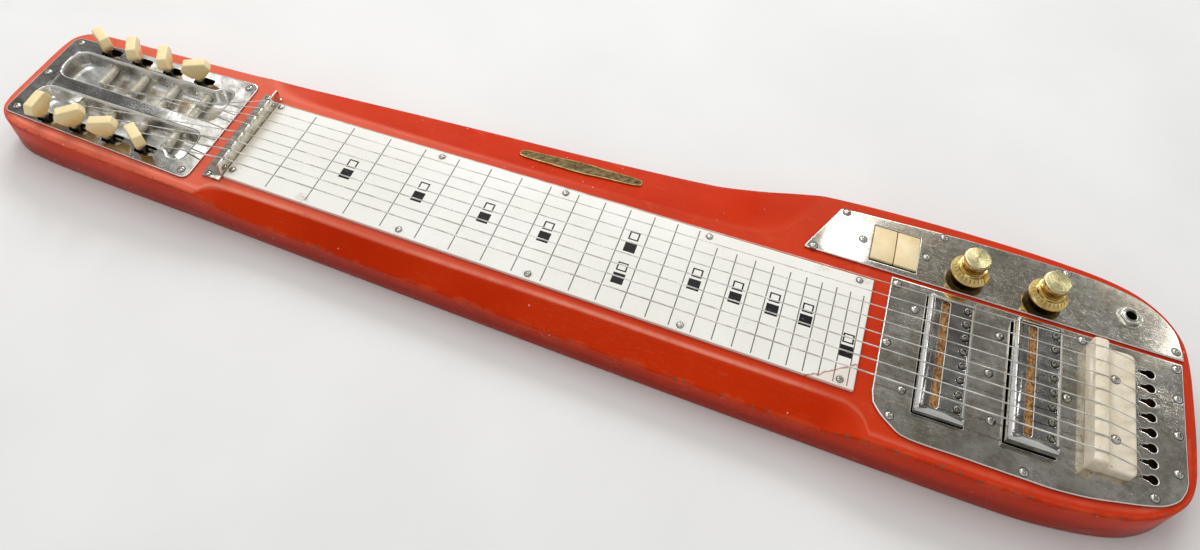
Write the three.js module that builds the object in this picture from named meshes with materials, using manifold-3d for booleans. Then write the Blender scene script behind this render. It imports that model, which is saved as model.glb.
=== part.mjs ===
// Lap steel guitar with eight strings, two pickups and worm-geared tuners.
// Millimetres, +X from the nut towards the tail, +Y away from the player, +Z up, standing on Z = 0.
import * as THREE from 'three';
import { mergeVertices } from 'three/addons/utils/BufferGeometryUtils.js';
import Module from 'manifold-3d';

const wasm = await Module();
wasm.setup();

// Body: one slab of painted wood
const headMargin = 7;
const tailMargin = 7;
const nearWidth = 70;
const farWidth = 103.7;
const bodyHeight = 31;
const edgeRadius = 1.6;
const neckBevelDepthNear = 9.8;
const neckBevelDepthFar = 14.4;
const nearLandWidth = 43;
const farLandWidth = 43;
const overrun = 6;
const seatGap = 0.15;
const runningGap = 0.3;

// Strings
const openLength = 571.5;
const stringCount = 8;
const nutSpacing = 8.15;
const bridgeSpacing = 9.9;
const stringRadius = 0.45;
const nutHeight = 12.6;
const ballRadius = 1.9;

// Sheet-metal plates, thickness and places
const plateThickness = 1.5;
const headPlateGap = 21.5;
const headPlateLength = 153.5;
const headPlateHalfLeft = 39.5;
const headPlateHalfRight = 46.5;
const headPlateCorner = 6;
const pickupPlateLeft = 443.5;
const pickupPlateLength = 179.5;
const pickupPlateFar = 48.5;
const pickupPlateNear = 60;
const controlMargin = 6;
const controlPlateLength = 239;
const controlPlateNear = 51.5;
const controlPlateDepth = 44.5;

// Fretboard and nut
const boardThickness = 2;
const boardLength = 433;
const boardStart = 0.8;
const boardHalfNut = 36;
const boardHalfTail = 41;
const boardCorner = 3;
const nutWallThickness = 1.6;
const nutBaseLength = 13.5;
const nutNearReach = 39.5;
const nutFarReach = 40.5;
const nutWallNear = 36;
const nutWallFar = 39;
const nutNotchWidth = 1.8;
const nutNotchDepth = 1.6;

// Head: troughs pressed in the plate, tuner shafts and posts
const tunerCount = 4;
const tunerPitch = 26.5;
const firstTuner = 143.5;
const tunerFarRow = 34.5;
const tunerNearRow = 35;
const sheet = 1.2;
const troughDepth = 13;
const troughDraft = 2.2;
const troughEndGap = 10;
const troughNutGap = 12.5;
const troughFarInner = 3;
const troughNearInner = 8.5;
const troughToShaft = 5.5;
const troughCorner = 12;
const troughEndCorner = 8;
const troughEndShare = 0.45;
const troughBulge = 4.3;
const shaftSlotLength = 15;
const shaftSlotWidth = 8.1;
const shaftSlotShift = 3;
const headPocketDepth = 19.2;
const headPocketWall = 4;
const headPocketRim = 1.4;

// Worm gears
const gearTeeth = 14;
const gearPitchRadius = 5;
const wormPitchRadius = 3;
const toothAddendum = 0.6;
const toothDedendum = 0.9;
const toothThickness = 0.8;
const gearWidth = 3;
const wormTurns = 2.75;
const wormSteps = 8;
const wormJournalRadius = 1.5;
const postDepth = 6.8;
const postRadius = 3;
const postJournalRadius = 2;
const postTipLength = 3.2;
const windingRadius = 3.8;
const windingWidth = 4.5;
const railThickness = 1.4;
const railFoot = 3.2;

// Tuner buttons
const buttonClear = 5.4;
const buttonHeight = 14;
const buttonBelly = 7.5;
const buttonFoot = 10;
const buttonWidth = 21;
const buttonTop = 14;
const buttonThickness = 7;
const buttonBoreDepth = 9;
const farButtonAngles = [150, 122, 118, 27];
const nearButtonAngles = [95, 43, 24, 148];

// Pickups
const pickupWidth = 29.5;
const pickupLength = 84;
const pickupShares = [0.2162, 0.5097];
const pickupRises = [6, 8.5];
const pickupChamfer = 1.6;
const pickupWall = 1;
const pickupPocketDepth = 14;
const coilSlotWidth = 4.8;
const coilSlotEnd = 4;
const coilSlotShift = 4.2;
const coilWidth = 15;
const coilWindingInset = 1.6;
const coilFlange = 1.8;
const poleShift = 9;
const poleRadius = 2.1;
const poleEnd = 7.35;
const keeperWidth = 6;
const keeperThickness = 2.5;

// Bridge block
const bridgeShare = 0.6791;
const ridgeWidth = 9;
const ridgeHeight = 12.9;
const ridgeRound = 1.5;
const bridgeDepth = 26.4;
const bridgeStepHeight = 7;
const bridgeHalfLength = 41.5;
const keyholeGap = 5.7;
const keyholeLength = 6;
const keyholeRadius = 2.9;
const keyholeSlit = 0.9;
const anchorPocketDepth = 9;

// Controls
const switchShare = 0.2406;
const switchAcross = 19.5;
const switchWindow = [31, 30];
const tabGap = 0.4;
const tabThickness = 3;
const tabStem = 5;
const tabPinRadius = 1.2;
const tabTilt = 4;
const switchDepth = 13;
const switchWall = 1.6;
const knobShares = [0.4393, 0.646];
const knobAcross = 14.9;
const knobSkirtRadius = 12.3;
const knobSkirtHeight = 5.5;
const knobCapRadius = 8.4;
const knobHeight = 19;
const knobClear = 2.4;
const knobFlutes = 24;
const spindleRadius = 3;
const spindleReach = 9;
const bushRadius = 4.6;
const bushRise = 1.8;
const potRadius = 11.5;
const potHeight = 8;
const jackShare = 0.8653;
const jackAcross = 20.5;
const jackNutRadius = 7;
const jackNutRise = 3.2;
const jackBore = 3.35;
const jackBushRadius = 4.6;
const jackBushLength = 9;
const jackFrameLength = 17;
const jackFrameWidth = 12;
const controlPocketDepth = 21;

// Name plate on the far bevel, bare
const badgeLength = 88;
const badgeWidth = 12.5;
const badgeThickness = 1;
const badgeStart = 180;
const badgeGap = 0.4;

// Values worked out from the sizes above
const headLength = headPlateGap + headPlateLength + headMargin;
const pickupPlateEnd = pickupPlateLeft + pickupPlateLength;
const bodyLength = headLength + pickupPlateEnd + tailMargin;
const controlPlateLeft = pickupPlateEnd + tailMargin - controlMargin - controlPlateLength;
const switchCentre = [controlPlateLeft + switchShare * controlPlateLength, controlPlateNear + switchAcross];
const knobPlaces = knobShares.map((share) => controlPlateLeft + share * controlPlateLength);
const knobRow = controlPlateNear + knobAcross;
const jackPlace = [controlPlateLeft + jackShare * controlPlateLength, controlPlateNear + jackAcross];
const pickupPlaces = pickupShares.map((share) => pickupPlateLeft + share * pickupPlateLength);
const bridgeFront = pickupPlateLeft + bridgeShare * pickupPlateLength;
const keyholeStart = bridgeFront + bridgeDepth + keyholeGap;
const keyholeEnd = keyholeStart + keyholeLength;
const poleSpacing = (pickupLength - 2 * poleEnd) / (stringCount - 1);
const coilSlotLength = pickupLength - 2 * coilSlotEnd;
const deck = bodyHeight;
const plateBase = deck + seatGap;
const plateTop = plateBase + plateThickness;
const wormShift = gearPitchRadius + wormPitchRadius;
const wormPitch = 2 * Math.PI * gearPitchRadius / gearTeeth;
const postAxis = deck - postDepth;
const pocketFloor = deck - headPocketDepth;
const railBase = pocketFloor + seatGap;
const coreRadius = wormPitchRadius - toothDedendum;
const buttonBase = plateTop + buttonClear;
const ridgeTop = plateTop + seatGap + ridgeHeight;
const stringRest = ridgeTop + runningGap + stringRadius;
const nutTop = deck + nutHeight;
const quarter = Math.PI / 2;
const arcSteps = 4;

const paint = new THREE.MeshStandardMaterial({ color: 0xcc3c1e, roughness: 0.35, metalness: 0 });
const chrome = new THREE.MeshStandardMaterial({ color: 0xc9c9c6, roughness: 0.16, metalness: 1 });
const steel = new THREE.MeshStandardMaterial({ color: 0xa8a59d, roughness: 0.35, metalness: 1 });
const whitePlastic = new THREE.MeshStandardMaterial({ color: 0xf2f1ea, roughness: 0.25, metalness: 0 });
const cream = new THREE.MeshStandardMaterial({ color: 0xe9d3a2, roughness: 0.35, metalness: 0 });
const marbled = new THREE.MeshStandardMaterial({ color: 0xe2d6bd, roughness: 0.4, metalness: 0 });
const gold = new THREE.MeshStandardMaterial({ color: 0xc49a45, roughness: 0.3, metalness: 1 });
const ochre = new THREE.MeshStandardMaterial({ color: 0xa86f2c, roughness: 0.7, metalness: 0 });
const brass = new THREE.MeshStandardMaterial({ color: 0x8a713a, roughness: 0.45, metalness: 1 });
const darkPlastic = new THREE.MeshStandardMaterial({ color: 0x2a2724, roughness: 0.6, metalness: 0 });

const assembly = new THREE.Group();

// Solids: a closed geometry becomes a manifold, and back
function solid(geometry) {
  const bare = geometry.clone();
  bare.deleteAttribute('normal');
  bare.deleteAttribute('uv');
  const merged = mergeVertices(bare, 1e-4);
  const vertProperties = new Float32Array(merged.attributes.position.array);
  const triVerts = new Uint32Array(merged.index.array);
  return new wasm.Manifold(new wasm.Mesh({ numProp: 3, vertProperties, triVerts }));
}

function geometryOf(body) {
  const data = body.getMesh();
  const geometry = new THREE.BufferGeometry();
  geometry.setAttribute('position', new THREE.BufferAttribute(data.vertProperties, 3));
  geometry.setIndex(new THREE.BufferAttribute(data.triVerts, 1));
  geometry.computeVertexNormals();
  return geometry;
}

function piece(name, shape, material, parent = assembly) {
  const geometry = shape.isBufferGeometry ? shape : geometryOf(shape);
  const mesh = new THREE.Mesh(geometry, material);
  mesh.name = name;
  parent.add(mesh);
  return mesh;
}

// Flat outlines and prisms
function outlineOf(points) {
  return new THREE.Shape(points.map(([x, y]) => new THREE.Vector2(x, y)));
}

function prism(shape, base, height, options = {}) {
  const settings = { depth: height, bevelEnabled: false, curveSegments: arcSteps, ...options };
  return new THREE.ExtrudeGeometry(shape, settings).translate(0, 0, base);
}

function roundedBox(x0, x1, y0, y1, radius) {
  const shape = new THREE.Shape();
  shape.moveTo(x0 + radius, y0);
  shape.lineTo(x1 - radius, y0);
  shape.absarc(x1 - radius, y0 + radius, radius, -quarter, 0);
  shape.lineTo(x1, y1 - radius);
  shape.absarc(x1 - radius, y1 - radius, radius, 0, quarter);
  shape.lineTo(x0 + radius, y1);
  shape.absarc(x0 + radius, y1 - radius, radius, quarter, 2 * quarter);
  shape.lineTo(x0, y0 + radius);
  shape.absarc(x0 + radius, y0 + radius, radius, 2 * quarter, 3 * quarter);
  return shape;
}

function box(x0, x1, y0, y1, z0, z1) {
  const geometry = new THREE.BoxGeometry(x1 - x0, y1 - y0, z1 - z0);
  return geometry.translate((x0 + x1) / 2, (y0 + y1) / 2, (z0 + z1) / 2);
}

// A round bar along Z from a list of [radius, height] steps, closed on its axis
function turned(steps, sides) {
  const profile = [new THREE.Vector2(0, steps[0][1])];
  steps.forEach(([radius, height]) => profile.push(new THREE.Vector2(radius, height)));
  profile.push(new THREE.Vector2(0, steps[steps.length - 1][1]));
  return new THREE.LatheGeometry(profile, sides).rotateX(quarter);
}

function hole(x, y, z0, z1, radius, sides = 10) {
  return solid(turned([[radius, z0], [radius, z1]], sides).translate(x, y, 0));
}

function crossHole(x, z, y0, y1, radius, sides = 8) {
  const bar = turned([[radius, y0], [radius, y1]], sides).rotateX(-quarter);
  return solid(bar.translate(x, 0, z));
}

// Curve through points given as shares of a length and a width
function curveThrough(shares, start, length, width, perSpan) {
  const points = shares.map(([x, y]) => new THREE.Vector3(start + x * length, y * width, 0));
  const curve = new THREE.CatmullRomCurve3(points, false, 'centripetal');
  return curve.getPoints(perSpan * (points.length - 1)).map((point) => [point.x, point.y]);
}

function heightAt(shares, share) {
  const next = shares.findIndex(([x]) => x >= share);
  if (next === 0) return shares[0][1];
  if (next < 0) return shares[shares.length - 1][1];
  const [x0, y0] = shares[next - 1];
  const [x1, y1] = shares[next];
  return y0 + (y1 - y0) * (share - x0) / (x1 - x0);
}

const headCornerShare = 0.0246;
const nearSideShares = [
  [headCornerShare, 0.678], [0.045, 0.713], [0.101, 0.748], [0.224, 0.79], [0.409, 0.864], [0.594, 0.93],
  [0.778, 0.978], [0.862, 0.995], [0.901, 0.985], [0.942, 0.92], [0.963, 0.848],
  [0.98, 0.732], [0.9925, 0.58], [0.998, 0.41], [1, 0.12],
];
const farSideShares = [
  [headCornerShare, 0.482], [0.101, 0.512], [0.15, 0.526], [0.2, 0.55], [0.286, 0.637],
  [0.409, 0.737], [0.532, 0.824], [0.655, 0.913], [0.7, 0.956], [0.74, 0.982],
  [0.815, 1], [0.889, 0.99], [0.94, 0.951], [0.964, 0.893], [0.983, 0.787],
  [0.9945, 0.65], [0.9985, 0.497], [1, 0.2],
];
const headCornerShares = [[0, 0.405], [0.0033, 0.515], [0.0125, 0.62]];
const headFarCornerShares = [[0, 0.29], [0.0033, 0.385], [0.0123, 0.455]];

function bodyOutline(perSpan) {
  const near = curveThrough(nearSideShares, -headLength, bodyLength, -nearWidth, perSpan);
  const far = curveThrough(farSideShares, -headLength, bodyLength, farWidth, perSpan);
  const nearCorner = headCornerShares.map(([x, y]) => [-headLength + x * bodyLength, -y * nearWidth]);
  const farCorner = headFarCornerShares.map(([x, y]) => [-headLength + x * bodyLength, y * farWidth]);
  return [...nearCorner, ...near, ...far.reverse(), ...farCorner.reverse()];
}

// Bevels of the neck: where the deck ends, and how deep the cut is at the wall
const nearLandShares = [
  [-0.03, 1.33], [-0.022, 1.26], [-0.014, 1.1], [-0.006, 1.02], [0.006, 1], [0.09, 1.002],
  [0.26, 1.044], [0.44, 1.06], [0.61, 1.098], [0.7, 1.11], [0.75, 1.125], [0.762, 1.18],
  [0.774, 1.3], [0.786, 1.7],
];
const nearDepthShares = [
  [-0.045, -0.1], [-0.035, 0], [0, 0.42], [0.025, 0.82], [0.06, 1], [0.3, 0.97], [0.6, 0.85],
  [0.7, 0.82], [0.735, 0.74], [0.755, 0.42], [0.775, 0.1], [0.79, -0.1],
];
const farLandShares = [
  [-0.035, 1.31], [-0.02, 1.13], [-0.007, 1.02], [0.008, 1], [0.16, 1.02], [0.33, 1.06],
  [0.5, 1.13], [0.6, 1.19], [0.63, 1.27], [0.65, 1.46], [0.667, 1.8], [0.682, 2.15], [0.7, 2.4],
];
const farDepthShares = [
  [-0.045, -0.1], [-0.03, 0], [0.08, 0.41], [0.17, 0.58], [0.25, 0.72], [0.42, 0.96], [0.5, 1],
  [0.55, 0.97], [0.6, 0.68], [0.64, 0.34], [0.68, 0.02], [0.7, -0.1],
];

function bevelCut(landShares, landWidth, depthShares, depth, wall, side) {
  const first = landShares[0][0];
  const last = landShares[landShares.length - 1][0];
  const stations = 40;
  const positions = [];
  for (let i = 0; i <= stations; i += 1) {
    const run = (1 - Math.cos(Math.PI * i / stations)) / 2;
    const share = first + (last - first) * run;
    const x = share * openLength;
    const edge = heightAt(landShares, share) * landWidth;
    const drop = heightAt(depthShares, share) * depth;
    const outer = Math.max(wall(x), edge) + overrun;
    const slope = drop / Math.max(wall(x) - edge, overrun / 2);
    const lift = Math.max(0, -drop);
    positions.push([x, side * edge, deck + lift]);
    positions.push([x, side * outer, Math.min(deck + lift, deck - slope * (outer - edge))]);
    positions.push([x, side * outer, deck + 2 * overrun]);
    positions.push([x, side * edge, deck + 2 * overrun]);
  }
  return solid(lofted(positions, 4, side > 0));
}

// Skin over rings of points, with flat ends
function lofted(points, ring, flip) {
  const rings = points.length / ring;
  const index = [];
  const face = (a, b, c) => (flip ? index.push(a, c, b) : index.push(a, b, c));
  for (let i = 0; i + 1 < rings; i += 1) {
    for (let j = 0; j < ring; j += 1) {
      const a = i * ring + j;
      const b = i * ring + (j + 1) % ring;
      face(a, a + ring, b + ring);
      face(a, b + ring, b);
    }
  }
  const last = (rings - 1) * ring;
  for (let j = 1; j + 1 < ring; j += 1) {
    face(0, j, j + 1);
    face(last, last + j + 1, last + j);
  }
  const geometry = new THREE.BufferGeometry();
  geometry.setAttribute('position', new THREE.Float32BufferAttribute(points.flat(), 3));
  geometry.setIndex(index);
  return geometry;
}

function wallLine(outline, sign) {
  const side = outline.filter(([, y]) => y * sign > 0).sort((a, b) => a[0] - b[0]);
  return (x) => sign * heightAt(side, x);
}

function pocket(shape, depth) {
  return solid(prism(shape, deck - depth, depth + overrun));
}

const headPocketCorner = 9;
const controlPocketShares = [[0.03, 0.045], [0.09, 0.86], [0.8, 0.88], [0.9, 0.7], [0.95, 0.045]];
const wireChannelWidth = 8;
const anchorPocketHalf = bridgeSpacing * (stringCount - 1) / 2 + keyholeRadius + wireChannelWidth / 4;

function makeBody() {
  const outline = bodyOutline(3);
  const rounding = {
    bevelEnabled: true, bevelThickness: edgeRadius, bevelSize: edgeRadius,
    bevelOffset: -edgeRadius, bevelSegments: 2,
  };
  let body = solid(prism(outlineOf(outline), edgeRadius, deck - 2 * edgeRadius, rounding));
  const near = wallLine(outline, -1);
  const far = wallLine(outline, 1);
  body = body.subtract(
    bevelCut(nearLandShares, nearLandWidth, nearDepthShares, neckBevelDepthNear, near, -1));
  body = body.subtract(
    bevelCut(farLandShares, farLandWidth, farDepthShares, neckBevelDepthFar, far, 1));
  const headRight = -headPlateGap - headPocketWall;
  const headLeft = headRight + 2 * headPocketWall - headPlateLength;
  const headPocket = new THREE.Shape();
  const rise = headPlateHalfRight - headPlateHalfLeft;
  const leftHalf = headPlateHalfLeft + rise * headPocketWall / headPlateLength - headPocketRim;
  const rightHalf = headPlateHalfRight - rise * headPocketWall / headPlateLength - headPocketRim;
  headPocket.moveTo(headLeft + headPocketCorner, -leftHalf);
  headPocket.lineTo(headRight, -rightHalf);
  headPocket.lineTo(headRight, rightHalf);
  headPocket.lineTo(headLeft + headPocketCorner, leftHalf);
  headPocket.lineTo(headLeft, leftHalf - headPocketCorner);
  headPocket.lineTo(headLeft, headPocketCorner - leftHalf);
  body = body.subtract(pocket(headPocket, headPocketDepth));
  const left = pickupPlaces[0] - pickupWidth / 2 - wireChannelWidth / 2;
  const right = pickupPlaces[1] + pickupWidth / 2 + wireChannelWidth / 2;
  const half = pickupLength / 2 + wireChannelWidth / 4;
  body = body.subtract(pocket(roundedBox(left, right, -half, half, overrun / 2), pickupPocketDepth));
  const controls = controlPocketShares.map(
    ([x, y]) => [controlPlateLeft + x * controlPlateLength, controlPlateNear + y * controlPlateDepth]);
  body = body.subtract(pocket(outlineOf(controls), controlPocketDepth));
  const channelX = (pickupPlaces[0] + pickupPlaces[1]) / 2;
  const channel = roundedBox(
    channelX - wireChannelWidth / 2, channelX + wireChannelWidth / 2,
    half - overrun, controlPlateNear + 2 * overrun, wireChannelWidth / 4);
  body = body.subtract(pocket(channel, pickupPocketDepth - overrun / 2));
  const anchors = roundedBox(
    keyholeStart - keyholeRadius, keyholeEnd + 2 * keyholeRadius,
    -anchorPocketHalf, anchorPocketHalf, keyholeRadius);
  body = body.subtract(pocket(anchors, anchorPocketDepth));
  return body;
}

// Head plate: sheet with two pressed troughs, slots for the shafts and holes for the posts
// Walls run along the posts' row, then swing out past the last one
function troughOutline(side, inset) {
  const { sign, inner, outer } = side;
  const right = -headPlateGap - troughNutGap - inset;
  const left = -headPlateGap - headPlateLength + troughEndGap + inset;
  const r = Math.min(troughCorner, (outer - inner) * troughEndShare) - inset;
  const end = troughEndCorner - inset;
  const low = inner + inset;
  const high = outer - inset;
  const wide = outer + troughBulge - inset;
  const swing = postX(tunerCount - 1) + 2 * postRadius;
  const shape = new THREE.Shape();
  shape.moveTo(left + r, low);
  shape.lineTo(right - end, low);
  shape.quadraticCurveTo(right, low, right, low + end);
  shape.lineTo(right, wide - end);
  shape.quadraticCurveTo(right, wide, right - end, wide);
  shape.bezierCurveTo(right - 2 * troughEndCorner, wide, swing + end / 2, high, swing, high);
  shape.lineTo(left + r, high);
  shape.quadraticCurveTo(left, high, left, high - r);
  shape.lineTo(left, low + r);
  shape.quadraticCurveTo(left, low, left + r, low);
  const points = shape.getPoints(arcSteps).slice(0, -1).map((p) => [p.x, sign * p.y]);
  return sign > 0 ? points : points.reverse();
}

// A pressed hollow: two outlines, the mouth and the narrower floor
function tub(side, inset, mouth, floor) {
  const top = troughOutline(side, inset);
  const low = troughOutline(side, inset + troughDraft);
  const points = [[low, floor], [top, mouth]].flatMap(([ring, z]) => ring.map(([x, y]) => [x, y, z]));
  return capped(points, top.length);
}

function capped(points, ring) {
  const index = [];
  for (let j = 0; j < ring; j += 1) {
    const b = (j + 1) % ring;
    index.push(j, b, ring + b, j, ring + b, ring + j);
  }
  const contour = points.slice(0, ring).map(([x, y]) => new THREE.Vector2(x, y));
  THREE.ShapeUtils.triangulateShape(contour, []).forEach(([a, b, c]) => {
    index.push(c, b, a, ring + a, ring + b, ring + c);
  });
  const geometry = new THREE.BufferGeometry();
  geometry.setAttribute('position', new THREE.Float32BufferAttribute(points.flat(), 3));
  geometry.setIndex(index);
  return solid(geometry);
}

const farTrough = {
  sign: 1, inner: troughFarInner, outer: tunerFarRow - troughToShaft, row: tunerFarRow,
};
const nearTrough = {
  sign: -1, inner: troughNearInner, outer: tunerNearRow - troughToShaft, row: tunerNearRow,
};
const troughs = [farTrough, nearTrough];

function shaftX(number) {
  return -firstTuner + number * tunerPitch;
}

function postX(number) {
  return shaftX(number) + wormShift;
}

function headPlateOutline() {
  const right = -headPlateGap;
  const left = right - headPlateLength;
  const r = headPlateCorner;
  const shape = new THREE.Shape();
  shape.moveTo(left + r, -headPlateHalfLeft);
  shape.lineTo(right - r, -headPlateHalfRight);
  shape.quadraticCurveTo(right, -headPlateHalfRight, right, r - headPlateHalfRight);
  shape.lineTo(right, headPlateHalfRight - r);
  shape.quadraticCurveTo(right, headPlateHalfRight, right - r, headPlateHalfRight);
  shape.lineTo(left + r, headPlateHalfLeft);
  shape.quadraticCurveTo(left, headPlateHalfLeft, left, headPlateHalfLeft - r);
  shape.lineTo(left, r - headPlateHalfLeft);
  shape.quadraticCurveTo(left, -headPlateHalfLeft, left + r, -headPlateHalfLeft);
  return shape;
}

function makeHeadPlate() {
  let plate = solid(prism(headPlateOutline(), plateBase, plateThickness));
  const floor = plateTop - troughDepth;
  troughs.forEach((side) => {
    plate = plate.add(tub(side, -sheet, plateTop, floor - sheet));
  });
  troughs.forEach((side) => {
    plate = plate.subtract(tub(side, 0, plateTop + seatGap, floor));
    const middle = side.inner + troughCorner;
    const spans = [
      [middle, side.row + overrun, postRadius + runningGap],
      [side.inner - overrun, middle, postJournalRadius + runningGap],
    ];
    const row = side.sign * side.row;
    for (let i = 0; i < tunerCount; i += 1) {
      spans.forEach(([from, to, radius]) => {
        const [low, high] = side.sign > 0 ? [from, to] : [-to, -from];
        plate = plate.subtract(crossHole(postX(i), postAxis, low, high, radius));
      });
      const centre = shaftX(i) + shaftSlotShift;
      const slot = roundedBox(
        centre - shaftSlotLength / 2, centre + shaftSlotLength / 2,
        row - shaftSlotWidth / 2, row + shaftSlotWidth / 2, shaftSlotWidth / 3);
      plate = plate.subtract(solid(prism(slot, plateBase - seatGap, plateThickness + 2 * seatGap)));
    }
  });
  return plate;
}

// Rail: angle strip beside a trough, carrying the lower ends of the shafts and the posts
function makeRail(row, sign) {
  const left = shaftX(0) - headPocketWall;
  const right = postX(tunerCount - 1) + postRadius + railThickness;
  const web = row - sign * (gearWidth / 2 + runningGap);
  const inner = web - sign * railThickness;
  const outer = row + sign * railFoot;
  const height = plateBase - seatGap - runningGap - railBase;
  let rail = solid(box(left, right, Math.min(web, inner), Math.max(web, inner), railBase, railBase + height));
  rail = rail.add(solid(
    box(left, right, Math.min(inner, outer), Math.max(inner, outer), railBase, railBase + railThickness)));
  for (let i = 0; i < tunerCount; i += 1) {
    rail = rail.subtract(hole(
      shaftX(i), row, railBase - overrun, railBase + railThickness + overrun / 2,
      wormJournalRadius + runningGap, 8));
    rail = rail.subtract(crossHole(
      postX(i), postAxis, Math.min(web, inner) - seatGap, Math.max(web, inner) + seatGap,
      postRadius + runningGap));
    const relief = coreRadius + toothAddendum + toothDedendum + runningGap;
    rail = rail.subtract(hole(
      shaftX(i), row, railBase + railThickness, railBase + height + overrun, relief));
  }
  return rail;
}

// Worm shaft: core, single-start thread, lower journal and the stub that enters the button
function threadBand() {
  const half = toothThickness / 2;
  const flank = (toothAddendum + toothDedendum) * Math.tan(Math.PI / 9);
  const rootHalf = half + flank * toothDedendum / (toothAddendum + toothDedendum);
  const tipHalf = half - flank * toothAddendum / (toothAddendum + toothDedendum);
  const inner = coreRadius * Math.cos(Math.PI / wormSteps) - seatGap;
  const tip = wormPitchRadius + toothAddendum;
  const count = wormTurns * wormSteps;
  const points = [];
  for (let i = 0; i <= count; i += 1) {
    const angle = 2 * Math.PI * (i - count / 2) / wormSteps;
    const rise = wormPitch * (i - count / 2) / wormSteps;
    const ring = [[inner, -rootHalf], [tip, -tipHalf], [tip, tipHalf], [inner, rootHalf]];
    ring.forEach(([radius, z]) => {
      points.push([radius * Math.cos(angle), radius * Math.sin(angle), rise + z]);
    });
  }
  return solid(lofted(points, 4, false));
}

function makeWorm() {
  const low = railBase + seatGap - postAxis;
  const shoulder = railBase + railThickness + seatGap - postAxis;
  const high = buttonBase + buttonBoreDepth - runningGap - postAxis;
  const core = turned(
    [[wormJournalRadius, low], [wormJournalRadius, shoulder], [coreRadius, shoulder], [coreRadius, high]],
    wormSteps);
  return solid(core).add(threadBand());
}

// String post: journals, drum with the string's turns, and a toothed wheel cut to the thread's slope
function gearWheel() {
  const root = gearPitchRadius - toothDedendum;
  const tip = gearPitchRadius + toothAddendum;
  const flank = Math.tan(Math.PI / 9);
  const points = [];
  for (let i = 0; i < gearTeeth; i += 1) {
    const middle = 2 * Math.PI * (i + 0.5) / gearTeeth;
    const half = toothThickness / 2;
    const rootTurn = (half + toothDedendum * flank) / gearPitchRadius;
    const tipTurn = (half - toothAddendum * flank) / gearPitchRadius;
    [[root, -rootTurn], [tip, -tipTurn], [tip, tipTurn], [root, rootTurn]].forEach(([r, turn]) => {
      points.push([r * Math.cos(middle + turn), r * Math.sin(middle + turn)]);
    });
  }
  const wheel = prism(outlineOf(points), -gearWidth / 2, gearWidth);
  const slope = wormPitch / (2 * Math.PI * wormPitchRadius * gearPitchRadius);
  const place = wheel.attributes.position;
  for (let i = 0; i < place.count; i += 1) {
    const turn = slope * place.getZ(i);
    const x = place.getX(i);
    const y = place.getY(i);
    place.setXY(i, x * Math.cos(turn) - y * Math.sin(turn), x * Math.sin(turn) + y * Math.cos(turn));
  }
  return wheel;
}

function makePost(reach, winding) {
  const tip = reach + postTipLength;
  const half = windingWidth / 2;
  const start = -gearWidth / 2 - runningGap;
  const core = turned([
    [postJournalRadius, start], [postJournalRadius, gearWidth / 2],
    [postRadius, gearWidth / 2], [postRadius, winding - half - seatGap],
    [windingRadius, winding - half], [windingRadius, winding + half],
    [postRadius, winding + half + seatGap], [postRadius, reach - runningGap],
    [postJournalRadius, reach - runningGap], [postJournalRadius, tip],
  ], 8);
  return solid(core).add(solid(gearWheel()));
}

// Button: a flat keystone of moulded plastic with a bored foot
function makeButton() {
  const shape = outlineOf([
    [-buttonFoot / 2, 0], [buttonFoot / 2, 0], [buttonWidth / 2, buttonBelly],
    [buttonTop / 2, buttonHeight], [-buttonTop / 2, buttonHeight], [-buttonWidth / 2, buttonBelly],
  ]);
  const edge = buttonThickness / 8;
  const settings = { bevelEnabled: true, bevelThickness: edge, bevelSize: edge, bevelOffset: -edge };
  const slab = prism(shape, edge - buttonThickness / 2, buttonThickness - 2 * edge,
    { ...settings, bevelSegments: 1 });
  const bore = turned(
    [[coreRadius + runningGap, -overrun], [coreRadius + runningGap, buttonBoreDepth]], 10);
  return solid(slab.rotateX(quarter)).subtract(solid(bore));
}

const farWindings = [9.5, 11, 13.5, 18];
const nearWindings = [14, 17.5, 21, 25];

function makeTuners() {
  const button = makeButton();
  const worm = makeWorm();
  const rows = [
    { label: 'far', row: tunerFarRow, sign: 1, inner: troughFarInner, windings: farWindings,
      angles: farButtonAngles },
    { label: 'near', row: -tunerNearRow, sign: -1, inner: troughNearInner, windings: nearWindings,
      angles: nearButtonAngles },
  ];
  rows.forEach(({ label, row, sign, inner, windings, angles }) => {
    piece(`tuner_rail_${label}`, makeRail(row, sign), steel);
    for (let i = 0; i < tunerCount; i += 1) {
      const number = i + 1;
      const stem = new THREE.Group();
      stem.position.set(shaftX(i), row, postAxis);
      assembly.add(stem);
      piece(`worm_shaft_${label}_${number}`, worm, steel, stem);
      const key = piece(`tuner_button_${label}_${number}`, button, cream, stem);
      key.position.set(0, 0, buttonBase - postAxis);
      key.rotation.z = THREE.MathUtils.degToRad(angles[i]);
      const reach = Math.abs(row) - inner - troughDraft;
      const post = makePost(reach, Math.abs(row) - windings[i]);
      const holder = new THREE.Group();
      holder.position.set(postX(i), row, postAxis);
      holder.rotation.x = sign * quarter;
      assembly.add(holder);
      const spun = piece(`string_post_${label}_${number}`, post, chrome, holder);
      spun.rotation.z = Math.PI;
    }
  });
}

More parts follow.
